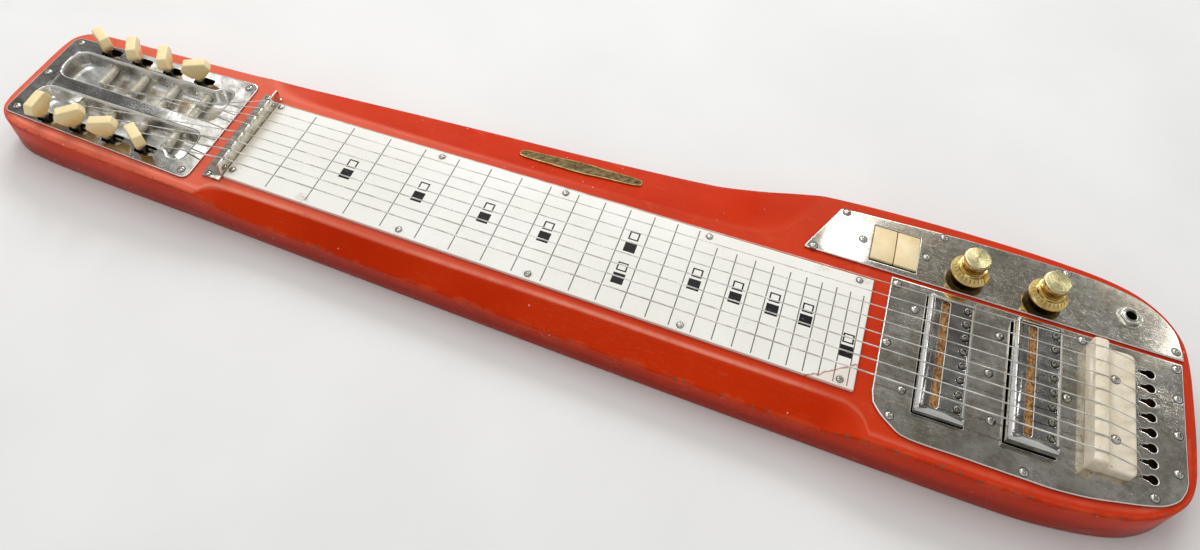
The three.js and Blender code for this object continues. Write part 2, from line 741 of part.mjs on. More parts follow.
// Nut: chrome angle with a notched upright
function makeNut() {
  const base = deck + seatGap;
  let nut = solid(box(-nutBaseLength, 0, -nutNearReach, nutFarReach, base, base + nutWallThickness));
  const wall = roundedBox(-nutWallNear, nutWallFar, base, nutTop, nutWallThickness);
  const upright = prism(wall, -nutWallThickness / 2, nutWallThickness)
    .rotateX(quarter).rotateZ(quarter);
  nut = nut.add(solid(upright.translate(-nutWallThickness / 2, 0, 0)));
  for (let i = 0; i < stringCount; i += 1) {
    const y = stringY(i, nutSpacing);
    nut = nut.subtract(solid(box(
      -2 * nutWallThickness, nutWallThickness, y - nutNotchWidth / 2, y + nutNotchWidth / 2,
      nutTop - nutNotchDepth, nutTop + overrun)));
  }
  return nut;
}

function stringY(number, spacing) {
  return (number - (stringCount - 1) / 2) * spacing;
}

// Fretboard: tapered sheet with rounded corners
function makeBoard() {
  const end = boardLength;
  const r = boardCorner;
  const shape = new THREE.Shape();
  shape.moveTo(boardStart + r, -boardHalfNut);
  shape.lineTo(end, -boardHalfTail);
  shape.lineTo(end, boardHalfTail);
  shape.lineTo(boardStart + r, boardHalfNut);
  shape.quadraticCurveTo(boardStart, boardHalfNut, boardStart, boardHalfNut - r);
  shape.lineTo(boardStart, r - boardHalfNut);
  shape.quadraticCurveTo(boardStart, -boardHalfNut, boardStart + r, -boardHalfNut);
  return prism(shape, deck + seatGap, boardThickness);
}

// String: from its post over the nut and the bridge to the ball under the keyhole
function makeString(number) {
  const far = number >= stringCount / 2;
  const slot = far ? number - stringCount / 2 : stringCount / 2 - 1 - number;
  const windings = far ? farWindings : nearWindings;
  const nutRest = nutTop - nutNotchDepth + runningGap + stringRadius;
  const postRest = postAxis + windingRadius + runningGap + stringRadius;
  const y = stringY(number, bridgeSpacing);
  const step = plateTop + seatGap + bridgeStepHeight;
  const bridgeRear = bridgeFront + bridgeDepth;
  const clear = runningGap + stringRadius;
  const route = [
    [postX(slot), (far ? 1 : -1) * windings[slot], postRest],
    [0, stringY(number, nutSpacing), nutRest],
    [bridgeFront + ridgeWidth / 3, y, stringRest],
    [bridgeFront + ridgeWidth, y, stringRest - ridgeRound / 3],
    [bridgeRear, y, step + 2 * clear],
    [keyholeStart, y, plateTop + stringRadius],
    [keyholeStart + keyholeSlit, y, plateBase - overrun / 2],
  ].map(([px, py, pz]) => new THREE.Vector3(px, py, pz));
  const tube = sweep(route, stringRadius, 6);
  const end = route[route.length - 1];
  const ball = turned([
    [ballRadius * 0.7, -ballRadius * 0.7], [ballRadius, 0], [ballRadius * 0.7, ballRadius * 0.7],
  ], 8);
  return solid(tube).add(solid(ball.translate(end.x, end.y, end.z)));
}

// Round bar through corner points, mitred at each corner
function sweep(route, radius, sides) {
  const points = [];
  route.forEach((at, i) => {
    const before = route[Math.max(i - 1, 0)];
    const after = route[Math.min(i + 1, route.length - 1)];
    const into = new THREE.Vector3().subVectors(at, before).normalize();
    const out = new THREE.Vector3().subVectors(after, at).normalize();
    const along = new THREE.Vector3().addVectors(into, out).normalize();
    const across = new THREE.Vector3(0, 1, 0).addScaledVector(along, -along.y).normalize();
    const rise = new THREE.Vector3().crossVectors(along, across);
    for (let j = 0; j < sides; j += 1) {
      const angle = 2 * Math.PI * j / sides;
      const point = at.clone()
        .addScaledVector(across, radius * Math.cos(angle))
        .addScaledVector(rise, radius * Math.sin(angle));
      points.push(point.toArray());
    }
  });
  return lofted(points, sides, true);
}

// Tail plate round the pickups, with keyholes for the string ends
const pickupPlateShares = [
  [0.008, -0.72], [0.036, -0.82], [0.07, -0.9], [0.114, -0.975], [0.32, -0.993], [0.48, -1],
  [0.6, -1], [0.71, -0.965], [0.79, -0.915], [0.873, -0.858], [0.928, -0.8], [0.972, -0.7],
  [0.994, -0.58],
];

function pickupPlateOutline() {
  const right = pickupPlateLeft + pickupPlateLength;
  const edge = curveThrough(pickupPlateShares, pickupPlateLeft, pickupPlateLength, pickupPlateNear, 2);
  return outlineOf([
    [pickupPlateLeft, pickupPlateFar], [pickupPlateLeft, -pickupPlateNear * 0.6], ...edge,
    [right, -pickupPlateNear * 0.5], [right, pickupPlateFar],
  ]);
}

function makePickupPlate() {
  let plate = solid(prism(pickupPlateOutline(), plateBase, plateThickness));
  pickupPlaces.forEach((x) => {
    const half = pickupWidth / 2 + 2 * runningGap;
    const reach = pickupLength / 2 + 2 * runningGap;
    plate = plate.subtract(solid(box(x - half, x + half, -reach, reach, deck, plateTop + overrun)));
  });
  for (let i = 0; i < stringCount; i += 1) {
    const y = stringY(i, bridgeSpacing);
    plate = plate.subtract(hole(keyholeEnd, y, deck, plateTop + overrun, keyholeRadius, 12));
    const slit = outlineOf([
      [keyholeStart - keyholeSlit, y - keyholeSlit], [keyholeEnd, y - keyholeRadius * 0.8],
      [keyholeEnd, y + keyholeRadius * 0.8], [keyholeStart - keyholeSlit, y + keyholeSlit],
    ]);
    plate = plate.subtract(solid(prism(slit, deck, plateThickness + overrun)));
  }
  return plate;
}

// Pickups: chromed cap, wound coil under the slot, and pole screws on a keeper bar
function makeCover(x, rise) {
  const half = pickupWidth / 2;
  const reach = pickupLength / 2;
  const low = deck - pickupPocketDepth + seatGap;
  const high = plateTop + rise;
  const cap = outlineOf([[x - half, -reach], [x + half, -reach], [x + half, reach], [x - half, reach]]);
  const settings = {
    bevelEnabled: true, bevelThickness: pickupChamfer, bevelSize: pickupChamfer,
    bevelOffset: -pickupChamfer, bevelSegments: 1, curveSegments: 1,
  };
  const slab = prism(cap, low - overrun, high - low - pickupChamfer + overrun, settings);
  let cover = solid(slab);
  cover = cover.subtract(solid(box(
    x - pickupWidth, x + pickupWidth, -pickupLength, pickupLength, low - 3 * overrun, low)));
  cover = cover.subtract(solid(box(
    x - half + pickupWall, x + half - pickupWall, pickupWall - reach, reach - pickupWall,
    low - overrun, high - pickupChamfer)));
  const slot = roundedBox(
    x - coilSlotShift - coilSlotWidth / 2, x - coilSlotShift + coilSlotWidth / 2,
    -coilSlotLength / 2, coilSlotLength / 2, coilSlotWidth * 0.45);
  cover = cover.subtract(solid(prism(slot, low, high - low + overrun)));
  for (let i = 0; i < stringCount; i += 1) {
    const y = stringY(i, poleSpacing);
    cover = cover.subtract(hole(x + poleShift, y, low, high + overrun, poleRadius + runningGap, 8));
  }
  return cover;
}

function makeCoil(x, rise) {
  const low = deck - pickupPocketDepth + seatGap;
  const high = plateTop + rise - pickupChamfer - seatGap;
  const reach = pickupLength / 2 - pickupWall - runningGap;
  const middle = x - pickupWidth / 2 + pickupWall + runningGap + coilWidth / 2;
  const flange = (z0, z1, inset) => solid(prism(roundedBox(
    middle - coilWidth / 2 + inset, middle + coilWidth / 2 - inset,
    inset - reach, reach - inset, coilFlange), z0, z1 - z0));
  const coil = flange(low, low + coilFlange, 0).add(flange(high - coilFlange, high, 0));
  return coil.add(flange(low, high, coilWindingInset));
}

function makePoles(x, rise) {
  const low = deck - pickupPocketDepth + seatGap;
  const reach = pickupLength / 2 - pickupWall - runningGap;
  let poles = solid(box(
    x + poleShift - keeperWidth / 2, x + poleShift + keeperWidth / 2 - seatGap,
    -reach, reach, low, low + keeperThickness));
  for (let i = 0; i < stringCount; i += 1) {
    const y = stringY(i, poleSpacing);
    const top = plateTop + rise + pickupWall / 3;
    poles = poles.add(hole(x + poleShift, y, low + keeperThickness / 2, top, poleRadius, 8));
  }
  return poles;
}

// Bridge: moulded block with a raised ridge and a lower rear step
function makeBridge() {
  const base = plateTop + seatGap;
  const front = bridgeFront;
  const rear = bridgeFront + bridgeDepth;
  const profile = outlineOf([
    [front, base], [rear, base], [rear, base + bridgeStepHeight - ridgeRound],
    [rear - ridgeRound, base + bridgeStepHeight], [front + ridgeWidth + ridgeRound, base + bridgeStepHeight],
    [front + ridgeWidth, base + bridgeStepHeight + ridgeRound],
    [front + ridgeWidth, base + ridgeHeight - ridgeRound],
    [front + ridgeWidth - ridgeRound, base + ridgeHeight],
    [front + ridgeRound / 2, base + ridgeHeight], [front, base + ridgeHeight - ridgeRound / 2],
  ]);
  const edge = ridgeRound / 2;
  const settings = {
    bevelEnabled: true, bevelThickness: edge, bevelSize: edge, bevelOffset: -edge, bevelSegments: 1,
  };
  const block = prism(profile, edge - bridgeHalfLength, 2 * (bridgeHalfLength - edge), settings);
  return block.rotateX(quarter);
}

// Control plate with its window and holes
const controlFarShares = [
  [0.075, 0.888], [0.12, 0.915], [0.19, 0.934], [0.4, 0.989], [0.6, 1], [0.73, 0.978],
  [0.816, 0.93], [0.9, 0.815], [0.95, 0.64], [0.983, 0.42], [0.998, 0.12],
];

function makeControlPlate() {
  const edge = curveThrough(controlFarShares, controlPlateLeft, controlPlateLength, controlPlateDepth, 2)
    .map(([x, y]) => [x, controlPlateNear + y]);
  const shape = outlineOf([
    [controlPlateLeft + controlPlateLength, controlPlateNear], ...edge.reverse(),
    [controlPlateLeft, controlPlateNear + controlPlateDepth * 0.04], [controlPlateLeft, controlPlateNear],
  ]);
  let plate = solid(prism(shape, plateBase, plateThickness));
  const [sx, sy] = switchCentre;
  const [wide, deep] = switchWindow;
  plate = plate.subtract(solid(box(
    sx - wide / 2, sx + wide / 2, sy - deep / 2, sy + deep / 2, deck, plateTop + overrun)));
  knobPlaces.forEach((x) => {
    plate = plate.subtract(hole(x, knobRow, deck, plateTop + overrun, bushRadius + runningGap, 12));
  });
  const [jx, jy] = jackPlace;
  return plate.subtract(hole(jx, jy, deck, plateTop + overrun, jackBushRadius + runningGap, 12));
}

// Switch: open box with a cross pin, and two rocking tabs on it
const switchTop = plateBase - seatGap;
const pinHeight = plateTop - tabThickness / 2 - tabStem;

function makeSwitchBox() {
  const [sx, sy] = switchCentre;
  const [wide, deep] = switchWindow;
  const low = switchTop - switchDepth;
  const hx = wide / 2 + switchWall;
  const hy = deep / 2 + switchWall;
  let frame = solid(box(sx - hx, sx + hx, sy - hy, sy + hy, low, switchTop));
  frame = frame.subtract(solid(box(
    sx - wide / 2, sx + wide / 2, sy - deep / 2, sy + deep / 2, low + switchWall, switchTop + overrun)));
  const pin = turned([[tabPinRadius, -hx + seatGap], [tabPinRadius, hx - seatGap]], 8).rotateY(quarter);
  return frame.add(solid(pin.translate(sx, sy, pinHeight)));
}

function makeTab() {
  const wide = switchWindow[0] / 2 - 1.5 * tabGap;
  const deep = switchWindow[1] - 4 * tabGap;
  const crown = tabThickness / 3;
  const side = outlineOf([
    [-deep / 2, tabStem], [-tabStem, tabStem], [-tabStem / 2, -tabStem / 2], [tabStem / 2, -tabStem / 2],
    [tabStem, tabStem], [deep / 2, tabStem], [deep / 2, tabStem + tabThickness - crown],
    [deep / 4, tabStem + tabThickness], [-deep / 4, tabStem + tabThickness],
    [-deep / 2, tabStem + tabThickness - crown],
  ]);
  const slab = prism(side, -wide / 2, wide).rotateX(quarter).rotateZ(quarter);
  const bore = turned([[tabPinRadius + runningGap, -wide], [tabPinRadius + runningGap, wide]], 8);
  return solid(slab).subtract(solid(bore.rotateY(quarter)));
}

function makeSwitch() {
  piece('switch_box', makeSwitchBox(), darkPlastic);
  const tab = makeTab();
  const offset = switchWindow[0] / 4;
  [['rocker_tab_head', -offset], ['rocker_tab_tail', offset]].forEach(([name, dx]) => {
    const rocker = piece(name, tab, cream);
    rocker.position.set(switchCentre[0] + dx, switchCentre[1], pinHeight);
    rocker.rotation.x = THREE.MathUtils.degToRad(-tabTilt);
  });
}

// Knobs: fluted skirt and smooth cap on a spindle that turns in the potentiometer's bush
function flutedDisc(radius, base, height) {
  const points = [];
  for (let i = 0; i < 2 * knobFlutes; i += 1) {
    const angle = Math.PI * i / knobFlutes;
    const r = i % 2 === 0 ? radius : radius - seatGap * 2;
    points.push([r * Math.cos(angle), r * Math.sin(angle)]);
  }
  return solid(prism(outlineOf(points), base, height));
}

function makeKnob() {
  const waist = knobCapRadius * 0.86;
  const shoulder = knobSkirtHeight + knobHeight * 0.14;
  const stack = turned([
    [knobSkirtRadius * 0.94, knobSkirtHeight - seatGap], [waist, shoulder],
    [waist, knobHeight * 0.58], [knobCapRadius, knobHeight * 0.63],
    [knobCapRadius, knobHeight - knobHeight / 30], [knobCapRadius * 0.95, knobHeight],
  ], 32);
  const well = hole(0, 0, -overrun, knobHeight * 0.25, bushRadius + 2 * runningGap, 16);
  const spindle = hole(0, 0, -spindleReach - knobClear, knobHeight / 2, spindleRadius - runningGap, 12);
  return flutedDisc(knobSkirtRadius, 0, knobSkirtHeight).add(solid(stack)).subtract(well).add(spindle);
}

function makePot(x) {
  const low = plateBase - seatGap - potHeight;
  const can = turned([
    [potRadius - seatGap, low], [potRadius, low + potHeight / 8], [potRadius, low + potHeight],
  ], 20);
  const bush = turned([[bushRadius, low + potHeight / 2], [bushRadius, plateTop + bushRise]], 12);
  const bore = hole(0, 0, plateTop - spindleReach - runningGap, plateTop + overrun, spindleRadius, 12);
  return solid(can).add(solid(bush)).subtract(bore).translate([x, knobRow, 0]);
}

function makeControls() {
  ['volume', 'tone'].forEach((label, i) => {
    piece(`${label}_pot`, makePot(knobPlaces[i]), steel);
    piece(`${label}_knob`, makeKnob(), gold).position.set(knobPlaces[i], knobRow, plateTop + knobClear);
  });
}

// Jack: hexagon nut and bush above the plate, contact frame below it
function makeJackBush() {
  const [x, y] = jackPlace;
  const top = plateTop + seatGap;
  const nut = turned([[jackNutRadius, top], [jackNutRadius, top + jackNutRise * 0.7],
    [jackNutRadius * 0.88, top + jackNutRise]], 6);
  const bush = turned([[jackBushRadius, plateBase - jackBushLength], [jackBushRadius, top + jackNutRise]], 16);
  const bore = turned([[jackBore, deck - 2 * jackBushLength], [jackBore, plateTop + 2 * jackBushLength]], 16);
  return solid(nut).add(solid(bush)).subtract(solid(bore)).translate([x, y, 0]);
}

function makeJackFrame() {
  const [x, y] = jackPlace;
  const top = plateBase - jackBushLength + sheet;
  const half = jackFrameWidth / 2;
  const low = top - jackFrameLength / 2;
  let frame = solid(box(x - half, x + half, y - half, y + half, top - sheet, top));
  frame = frame.subtract(hole(x, y, low, top + overrun, jackBushRadius + runningGap, 16));
  const arm = box(x + half - sheet, x + half, y - half / 2, y + half / 2, low, top - sheet / 2);
  const foot = box(x + jackBore + seatGap, x + half, y - half / 2, y + half / 2, low - sheet, low);
  return frame.add(solid(arm)).add(solid(foot));
}

// Name plate: a long lozenge lying on the far bevel, left blank
const badgeShares = [
  [0, 0], [0.06, 0.34], [0.3, 0.42], [0.44, 0.5], [0.56, 0.5], [0.7, 0.42], [0.94, 0.34], [1, 0],
];

function makeBadge() {
  const upper = badgeShares.map(([x, y]) => [(x - 0.5) * badgeLength, y * badgeWidth]);
  const lower = badgeShares.slice(1, -1).reverse().map(([x, y]) => [(x - 0.5) * badgeLength, -y * badgeWidth]);
  const plate = prism(outlineOf([...upper, ...lower]), 0, badgeThickness);
  const middle = (badgeStart + badgeLength / 2);
  const far = wallLine(bodyOutline(3), 1);
  const spot = (x) => {
    const share = x / openLength;
    const edge = heightAt(farLandShares, share) * farLandWidth;
    const drop = heightAt(farDepthShares, share) * neckBevelDepthFar;
    const y = (edge + far(x)) / 2;
    return new THREE.Vector3(x, y, deck - drop / 2);
  };
  const share = middle / openLength;
  const edge = heightAt(farLandShares, share) * farLandWidth;
  const drop = heightAt(farDepthShares, share) * neckBevelDepthFar;
  const along = new THREE.Vector3().subVectors(spot(middle + badgeLength / 2), spot(middle - badgeLength / 2));
  const down = new THREE.Vector3(0, far(middle) - edge, -drop);
  const up = new THREE.Vector3().crossVectors(along, down).normalize();
  const across = new THREE.Vector3().crossVectors(up, along).normalize();
  const frame = new THREE.Matrix4().makeBasis(along.normalize(), across, up);
  frame.setPosition(spot(middle).addScaledVector(up, badgeGap));
  return solid(plate.applyMatrix4(frame));
}

const body = makeBody();
piece('body', body, paint);
piece('head_plate', makeHeadPlate(), chrome);
makeTuners();
piece('nut', makeNut(), chrome);
piece('fretboard', makeBoard(), whitePlastic);
piece('pickup_plate', makePickupPlate(), chrome);
['neck', 'bridge'].forEach((label, i) => {
  const x = pickupPlaces[i];
  piece(`pickup_cover_${label}`, makeCover(x, pickupRises[i]), chrome);
  piece(`pickup_coil_${label}`, makeCoil(x, pickupRises[i]), ochre);
  piece(`pole_screws_${label}`, makePoles(x, pickupRises[i]), steel);
});
piece('bridge', makeBridge(), marbled);
for (let i = 0; i < stringCount; i += 1) {
  piece(`string_${i + 1}`, makeString(i), steel);
}
piece('control_plate', makeControlPlate(), chrome);
makeSwitch();
makeControls();
piece('jack_bush', makeJackBush(), chrome);
piece('jack_frame', makeJackFrame(), steel);
piece('name_plate', makeBadge(), brass);

// Origin: middle of the body's floor area
const bounds = body.boundingBox();
assembly.position.set(-(bounds.min[0] + bounds.max[0]) / 2, -(bounds.min[1] + bounds.max[1]) / 2, 0);

export default assembly;
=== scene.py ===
"""Lap steel guitar: painted body, chromed fittings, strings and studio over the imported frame."""

import math
from bisect import bisect
from functools import reduce

import bmesh
import bpy
from mathutils import Matrix, Vector
from mathutils.geometry import delaunay_2d_cdt, tessellate_polygon


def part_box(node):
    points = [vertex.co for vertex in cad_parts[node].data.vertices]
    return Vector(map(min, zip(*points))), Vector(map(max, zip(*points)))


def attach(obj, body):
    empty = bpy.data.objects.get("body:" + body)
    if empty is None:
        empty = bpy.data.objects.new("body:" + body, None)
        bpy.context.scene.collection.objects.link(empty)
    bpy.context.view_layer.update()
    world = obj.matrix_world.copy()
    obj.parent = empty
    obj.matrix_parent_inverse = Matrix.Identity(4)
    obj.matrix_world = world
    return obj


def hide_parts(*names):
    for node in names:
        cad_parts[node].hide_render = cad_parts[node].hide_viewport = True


bl_info = {
    "name": "Lap steel guitar",
    "version": (1, 0, 0),
    "blender": (4, 5, 0),
    "location": "View3D > Sidebar > Lap steel",
    "description": "Builds the finished pieces of a lap steel guitar over its packed frame",
    "category": "Add Mesh",
}

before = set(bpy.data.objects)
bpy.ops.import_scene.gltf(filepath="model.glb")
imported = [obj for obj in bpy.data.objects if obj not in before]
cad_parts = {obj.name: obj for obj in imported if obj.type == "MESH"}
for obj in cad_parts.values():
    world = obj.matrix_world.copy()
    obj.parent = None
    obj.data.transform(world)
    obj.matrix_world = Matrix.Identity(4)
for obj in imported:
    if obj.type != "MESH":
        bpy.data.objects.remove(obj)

# The instrument's own measure: X from the nut towards the tail, Y from the middle string line, in mm
BOARD_LOW, BOARD_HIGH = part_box("fretboard")
NUT_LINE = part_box("nut")[1].x * 1000
MIDDLE_LINE = (BOARD_LOW.y + BOARD_HIGH.y) * 500
FIT = Matrix.Translation((NUT_LINE / 1000, MIDDLE_LINE / 1000, 0)) @ Matrix.Scale(0.001, 4)
SCALE_LENGTH = 571.5
DECK = 31.0
PLATE_BASE = 31.15
PLATE_TOP = 32.65
BOARD_TOP = 33.15
STRINGS = 8
SHAFTS = [-143.5 + 26.5 * i for i in range(4)]
POST_SHIFT = 8
POST_AXIS = 24.2
DRUM_RADIUS = 2.75
ROWS = {"far": 34.5, "near": -35.0}
SIGNS = {"far": 1, "near": -1}
TROUGH_SPANS = {"far": (3, 29), "near": (8.5, 29.5)}
WINDINGS = {"far": [9.5, 11, 13.5, 18], "near": [14, 17.5, 21, 25]}
BUTTON_ANGLES = {"far": [150, 122, 118, 27], "near": [95, 43, 24, 148]}
PICKUPS = {"neck": (482.31, 6.0), "bridge": (534.99, 8.5)}
BRIDGE_FRONT = 565.4
BRIDGE_BASE = PLATE_TOP + 0.15
RIDGE_RISE, STEP_RISE = 12.9, 7
NUT_SPACING, BRIDGE_SPACING = 8.15, 9.9
KEYHOLE_X = (597.5, 603.5)
KNOBS = {"volume": 490.0, "tone": 539.4}
KNOB_ROW = 66.4
SWITCH = (442.5, 71.0)
JACK = (591.8, 72.0)

# The board's print: half a line's thickness, how far lines reach from the middle at the nut and how
# that grows per mm, and the marks by row and half sizes
FRET_GROWTH = 12 / math.log(2)
LINE_HALF = 0.36
LINE_REACH, LINE_GROWTH = 33.25, 0.0141
MARKED_FRETS = [3, 5, 7, 9, 15, 17, 19, 21]
SIDE_MARKS = [(12, 12.7), (12, -12.7), (24, -12.2)]
FILLED_ROW, FILLED_HALVES = -4.3, (4.0, 4.1)
HOLLOW_ROW, HOLLOW_HALVES = 4.9, ((3.5, 3.4), (2.5, 2.4))
WIDE_STAINS = [(400, 40), (429, 40.5), (60, -34)]

# Small screws, by where their middles stand
BOARD_SCREWS = [(3.8, 33), (3.8, -29), (131, 33), (131, -33), (222.5, 34.5), (222.5, -34.5),
                (324, 35.3), (324, -35.3), (424, 37.4), (424, -36.4)]
PLATE_SCREWS = [
    (447.5, 44), (447, -1), (455.4, -48.7), (460.8, 28.7), (460.2, -30), (513.5, 28.3), (512.7, -31),
    (509, 0), (554.8, 0), (563, 44), (619.2, 44), (619, 23), (618.5, -1.5), (617.6, -26), (604, -45.4),
    (532.7, -56), (390.5, 53.8), (407, 89), (421, 70.9), (463.2, 71.6), (472.6, 92), (552.6, 92.3),
    (619.4, 56.6)]
HEAD_SCREWS = [(-168.3, 35.2), (-170.6, 1.7), (-168.3, -33.6), (-27.6, 41), (-28.3, -40.8)]
NUT_SCREWS = [(-9.6, -37.2), (-9.6, 37.8)]
BRIDGE_SCREWS = [(579.8, 18.2), (579.8, -21.3)]


def string_row(number, spacing):
    """Distance of one string from the middle line, counted from the near side."""
    return (number - (STRINGS - 1) / 2) * spacing


# Shapes made of rings and outlines

def curve_through(points, steps):
    """Points on a smooth closed curve through the given ones."""
    count = len(points)
    line = []
    for i in range(count):
        p0, p1, p2, p3 = (Vector(points[(i + k) % count]) for k in (-1, 0, 1, 2))
        t1 = max((p1 - p0).length, 1e-6) ** 0.5
        t2 = t1 + max((p2 - p1).length, 1e-6) ** 0.5
        t3 = t2 + max((p3 - p2).length, 1e-6) ** 0.5
        for k in range(steps):
            t = t1 + (t2 - t1) * k / steps
            a1 = p0 * ((t1 - t) / t1) + p1 * (t / t1)
            a2 = p1 * ((t2 - t) / (t2 - t1)) + p2 * ((t - t1) / (t2 - t1))
            a3 = p2 * ((t3 - t) / (t3 - t2)) + p3 * ((t - t2) / (t3 - t2))
            b1 = a1 * ((t2 - t) / t2) + a2 * (t / t2)
            b2 = a2 * ((t3 - t) / (t3 - t1)) + a3 * ((t - t1) / (t3 - t1))
            line.append(b1 * ((t2 - t) / (t2 - t1)) + b2 * ((t - t1) / (t2 - t1)))
    return line


def open_curve(shares, start, length, width, steps):
    """Points on a smooth open curve given as shares of a length and a width."""
    points = [Vector((start + x * length, y * width)) for x, y in shares]
    first = points[0] * 2 - points[1]
    last = points[-1] * 2 - points[-2]
    whole = curve_through([first, *points, last], steps)
    return whole[steps:steps * len(points) + 1]


def even_spacing(points, spacing):
    """The same closed line with points at even distances."""
    count = len(points)
    lengths = [(points[(i + 1) % count] - points[i]).length for i in range(count)]
    total = sum(lengths)
    wanted = int(total / spacing)
    line, i, passed = [], 0, 0.0
    for k in range(wanted):
        target = total * k / wanted
        while passed + lengths[i] < target:
            passed += lengths[i]
            i += 1
        share = (target - passed) / lengths[i]
        line.append(points[i].lerp(points[(i + 1) % count], share))
    return line


def share_at(shares, x):
    """Value of a table of (place, value) pairs at x, without overshoot between them."""
    if x <= shares[0][0]:
        return shares[0][1]
    if x >= shares[-1][0]:
        return shares[-1][1]
    slopes = [(b[1] - a[1]) / (b[0] - a[0]) for a, b in zip(shares, shares[1:])]
    tangents = [slopes[0]]
    for a, b in zip(slopes, slopes[1:]):
        tangents.append(0.0 if a * b <= 0 else 2 * a * b / (a + b))
    tangents.append(slopes[-1])
    i = next(k for k in range(len(slopes)) if x <= shares[k + 1][0])
    (x0, y0), (x1, y1) = shares[i], shares[i + 1]
    h = x1 - x0
    t = (x - x0) / h
    return (y0 * (2 * t ** 3 - 3 * t ** 2 + 1) + tangents[i] * h * (t ** 3 - 2 * t ** 2 + t)
            + y1 * (3 * t ** 2 - 2 * t ** 3) + tangents[i + 1] * h * (t ** 3 - t ** 2))


def inward(line):
    """For each point of a closed line, the direction to its left, lengthened at corners."""
    count = len(line)
    ways = []
    for i in range(count):
        before = (line[i] - line[i - 1]).normalized()
        after = (line[(i + 1) % count] - line[i]).normalized()
        left = Vector((-before.y - after.y, before.x + after.x))
        if left.length < 1e-6:
            left = Vector((-before.y, before.x))
        left.normalize()
        reach = max(0.35, left.x * -before.y + left.y * before.x)
        ways.append(left / reach)
    return ways


def corner_points(here, before, after, run, steps):
    """Points round a corner, by its two ways out and how far along them the rounding starts."""
    start, end = here + before.normalized() * run, here + after.normalized() * run
    shares = [k / steps for k in range(steps + 1)]
    return [start * (1 - t) ** 2 + here * 2 * t * (1 - t) + end * t ** 2 for t in shares]


def rounded(corners, steps=6):
    """Closed line through corners given as (x, y, radius)."""
    line = []
    for i, (x, y, radius) in enumerate(corners):
        here = Vector((x, y))
        before = Vector(corners[i - 1][:2]) - here
        after = Vector(corners[(i + 1) % len(corners)][:2]) - here
        run = radius / math.tan(before.angle(after) / 2)
        run = min(run, 0.49 * before.length, 0.49 * after.length)
        line += corner_points(here, before, after, run, steps)
    return line


def block(x0, x1, y0, y1, radius, steps=6):
    return rounded([(x0, y0, radius), (x1, y0, radius), (x1, y1, radius), (x0, y1, radius)], steps)


def circle(x, y, radius, sides=32):
    return [Vector((x + radius * math.cos(2 * math.pi * k / sides),
                    y + radius * math.sin(2 * math.pi * k / sides))) for k in range(sides)]


def area_of(line):
    return sum(a.x * b.y - b.x * a.y for a, b in zip(line, line[1:] + line[:1])) / 2


def facing(line, way):
    """The closed line run anticlockwise, or clockwise where way is -1, as a hole's rim is."""
    return line if area_of(line) * way > 0 else line[::-1]


def add_object(name, data):
    made = bpy.data.objects.new(name, data)
    bpy.context.scene.collection.objects.link(made)
    return made


def mesh_object(name, points, edges=(), faces=()):
    mesh = bpy.data.meshes.new(name)
    mesh.from_pydata(points, edges, faces)
    return add_object(name, mesh)


def smooth_below(mesh, angle):
    """Smooth shading, but for edges sharper than the angle in degrees."""
    mesh.shade_smooth()
    mesh.set_sharp_from_angle(angle=math.radians(angle))


# The plane fill's own number for giving back triangles inside the loops only
INNER_TRIANGLES = 1
# Width of the flat ring that lies beside a rounded rim
FLAT_RIM = 0.3


class Skin:
    """Points and faces of one mesh while it is being made, in the instrument's mm."""

    def __init__(self):
        self.points = []
        self.faces = []
        self.marks = {}

    def ring(self, points, **marks):
        start = len(self.points)
        self.points.extend(tuple(p) for p in points)
        for name, value in marks.items():
            self.marks.setdefault(name, {}).update(
                {start + k: value for k in range(len(self.points) - start)})
        return list(range(start, len(self.points)))

    def inset_ring(self, line, ways, inset, z, **marks):
        return self.ring([(*(p + way * inset), z) for p, way in zip(line, ways)], **marks)

    def band(self, rings):
        """Joins each ring to the next."""
        for low, high in zip(rings, rings[1:]):
            for i in range(len(low)):
                j = (i + 1) % len(low)
                self.faces.append((low[i], low[j], high[j], high[i]))

    def layers(self, line, steps, mark="edge_wear"):
        """Joined rings along a closed line, by steps of (inset, height, mark)."""
        ways = inward(line)
        rings = [self.inset_ring(line, ways, inset, z, **{mark: value}) for inset, z, value in steps]
        self.band(rings)
        return rings

    def close(self, *rings):
        """Flat face over one ring, or over a ring with others as its holes.

        Where a ring crosses itself the even fill isn't possible, and ear cutting takes its place."""
        flat, loops = [], []
        for ring in rings:
            loop = list(range(len(flat), len(flat) + len(ring)))
            flat += ring
            around = area_of([Vector(self.points[k][:2]) for k in ring])
            loops.append(loop if around > 0 else loop[::-1])
        spots = [Vector(self.points[k][:2]) for k in flat]
        _, _, faces, origins, _, covers = delaunay_2d_cdt(spots, [], loops, INNER_TRIANGLES, 1e-6)
        if all(origins):
            faces = [[origins[k][0] for k in face] for face, cover in zip(faces, covers) if cover == [0]]
        else:
            faces = tessellate_polygon([[spots[k].to_3d() for k in loop] for loop in loops])
            order = [k for loop in loops for k in loop]
            faces = [[order[k] for k in face] for face in faces]
        self.faces += [tuple(flat[k] for k in face) for face in faces]

    def tip(self, ring, point):
        self.points.append(tuple(point))
        top = len(self.points) - 1
        for i, k in enumerate(ring):
            self.faces.append((k, ring[(i + 1) % len(ring)], top))

    def turn(self, matrix):
        self.points = [tuple(matrix @ Vector(point)) for point in self.points]

    def object(self, name, smooth=35):
        piece = mesh_object(name, self.points, faces=self.faces)
        for key, values in self.marks.items():
            attribute = piece.data.attributes.new(key, "FLOAT", "POINT")
            for k in range(len(self.points)):
                attribute.data[k].value = values.get(k, 0.0)
        tidy_mesh(piece.data, smooth)
        return piece


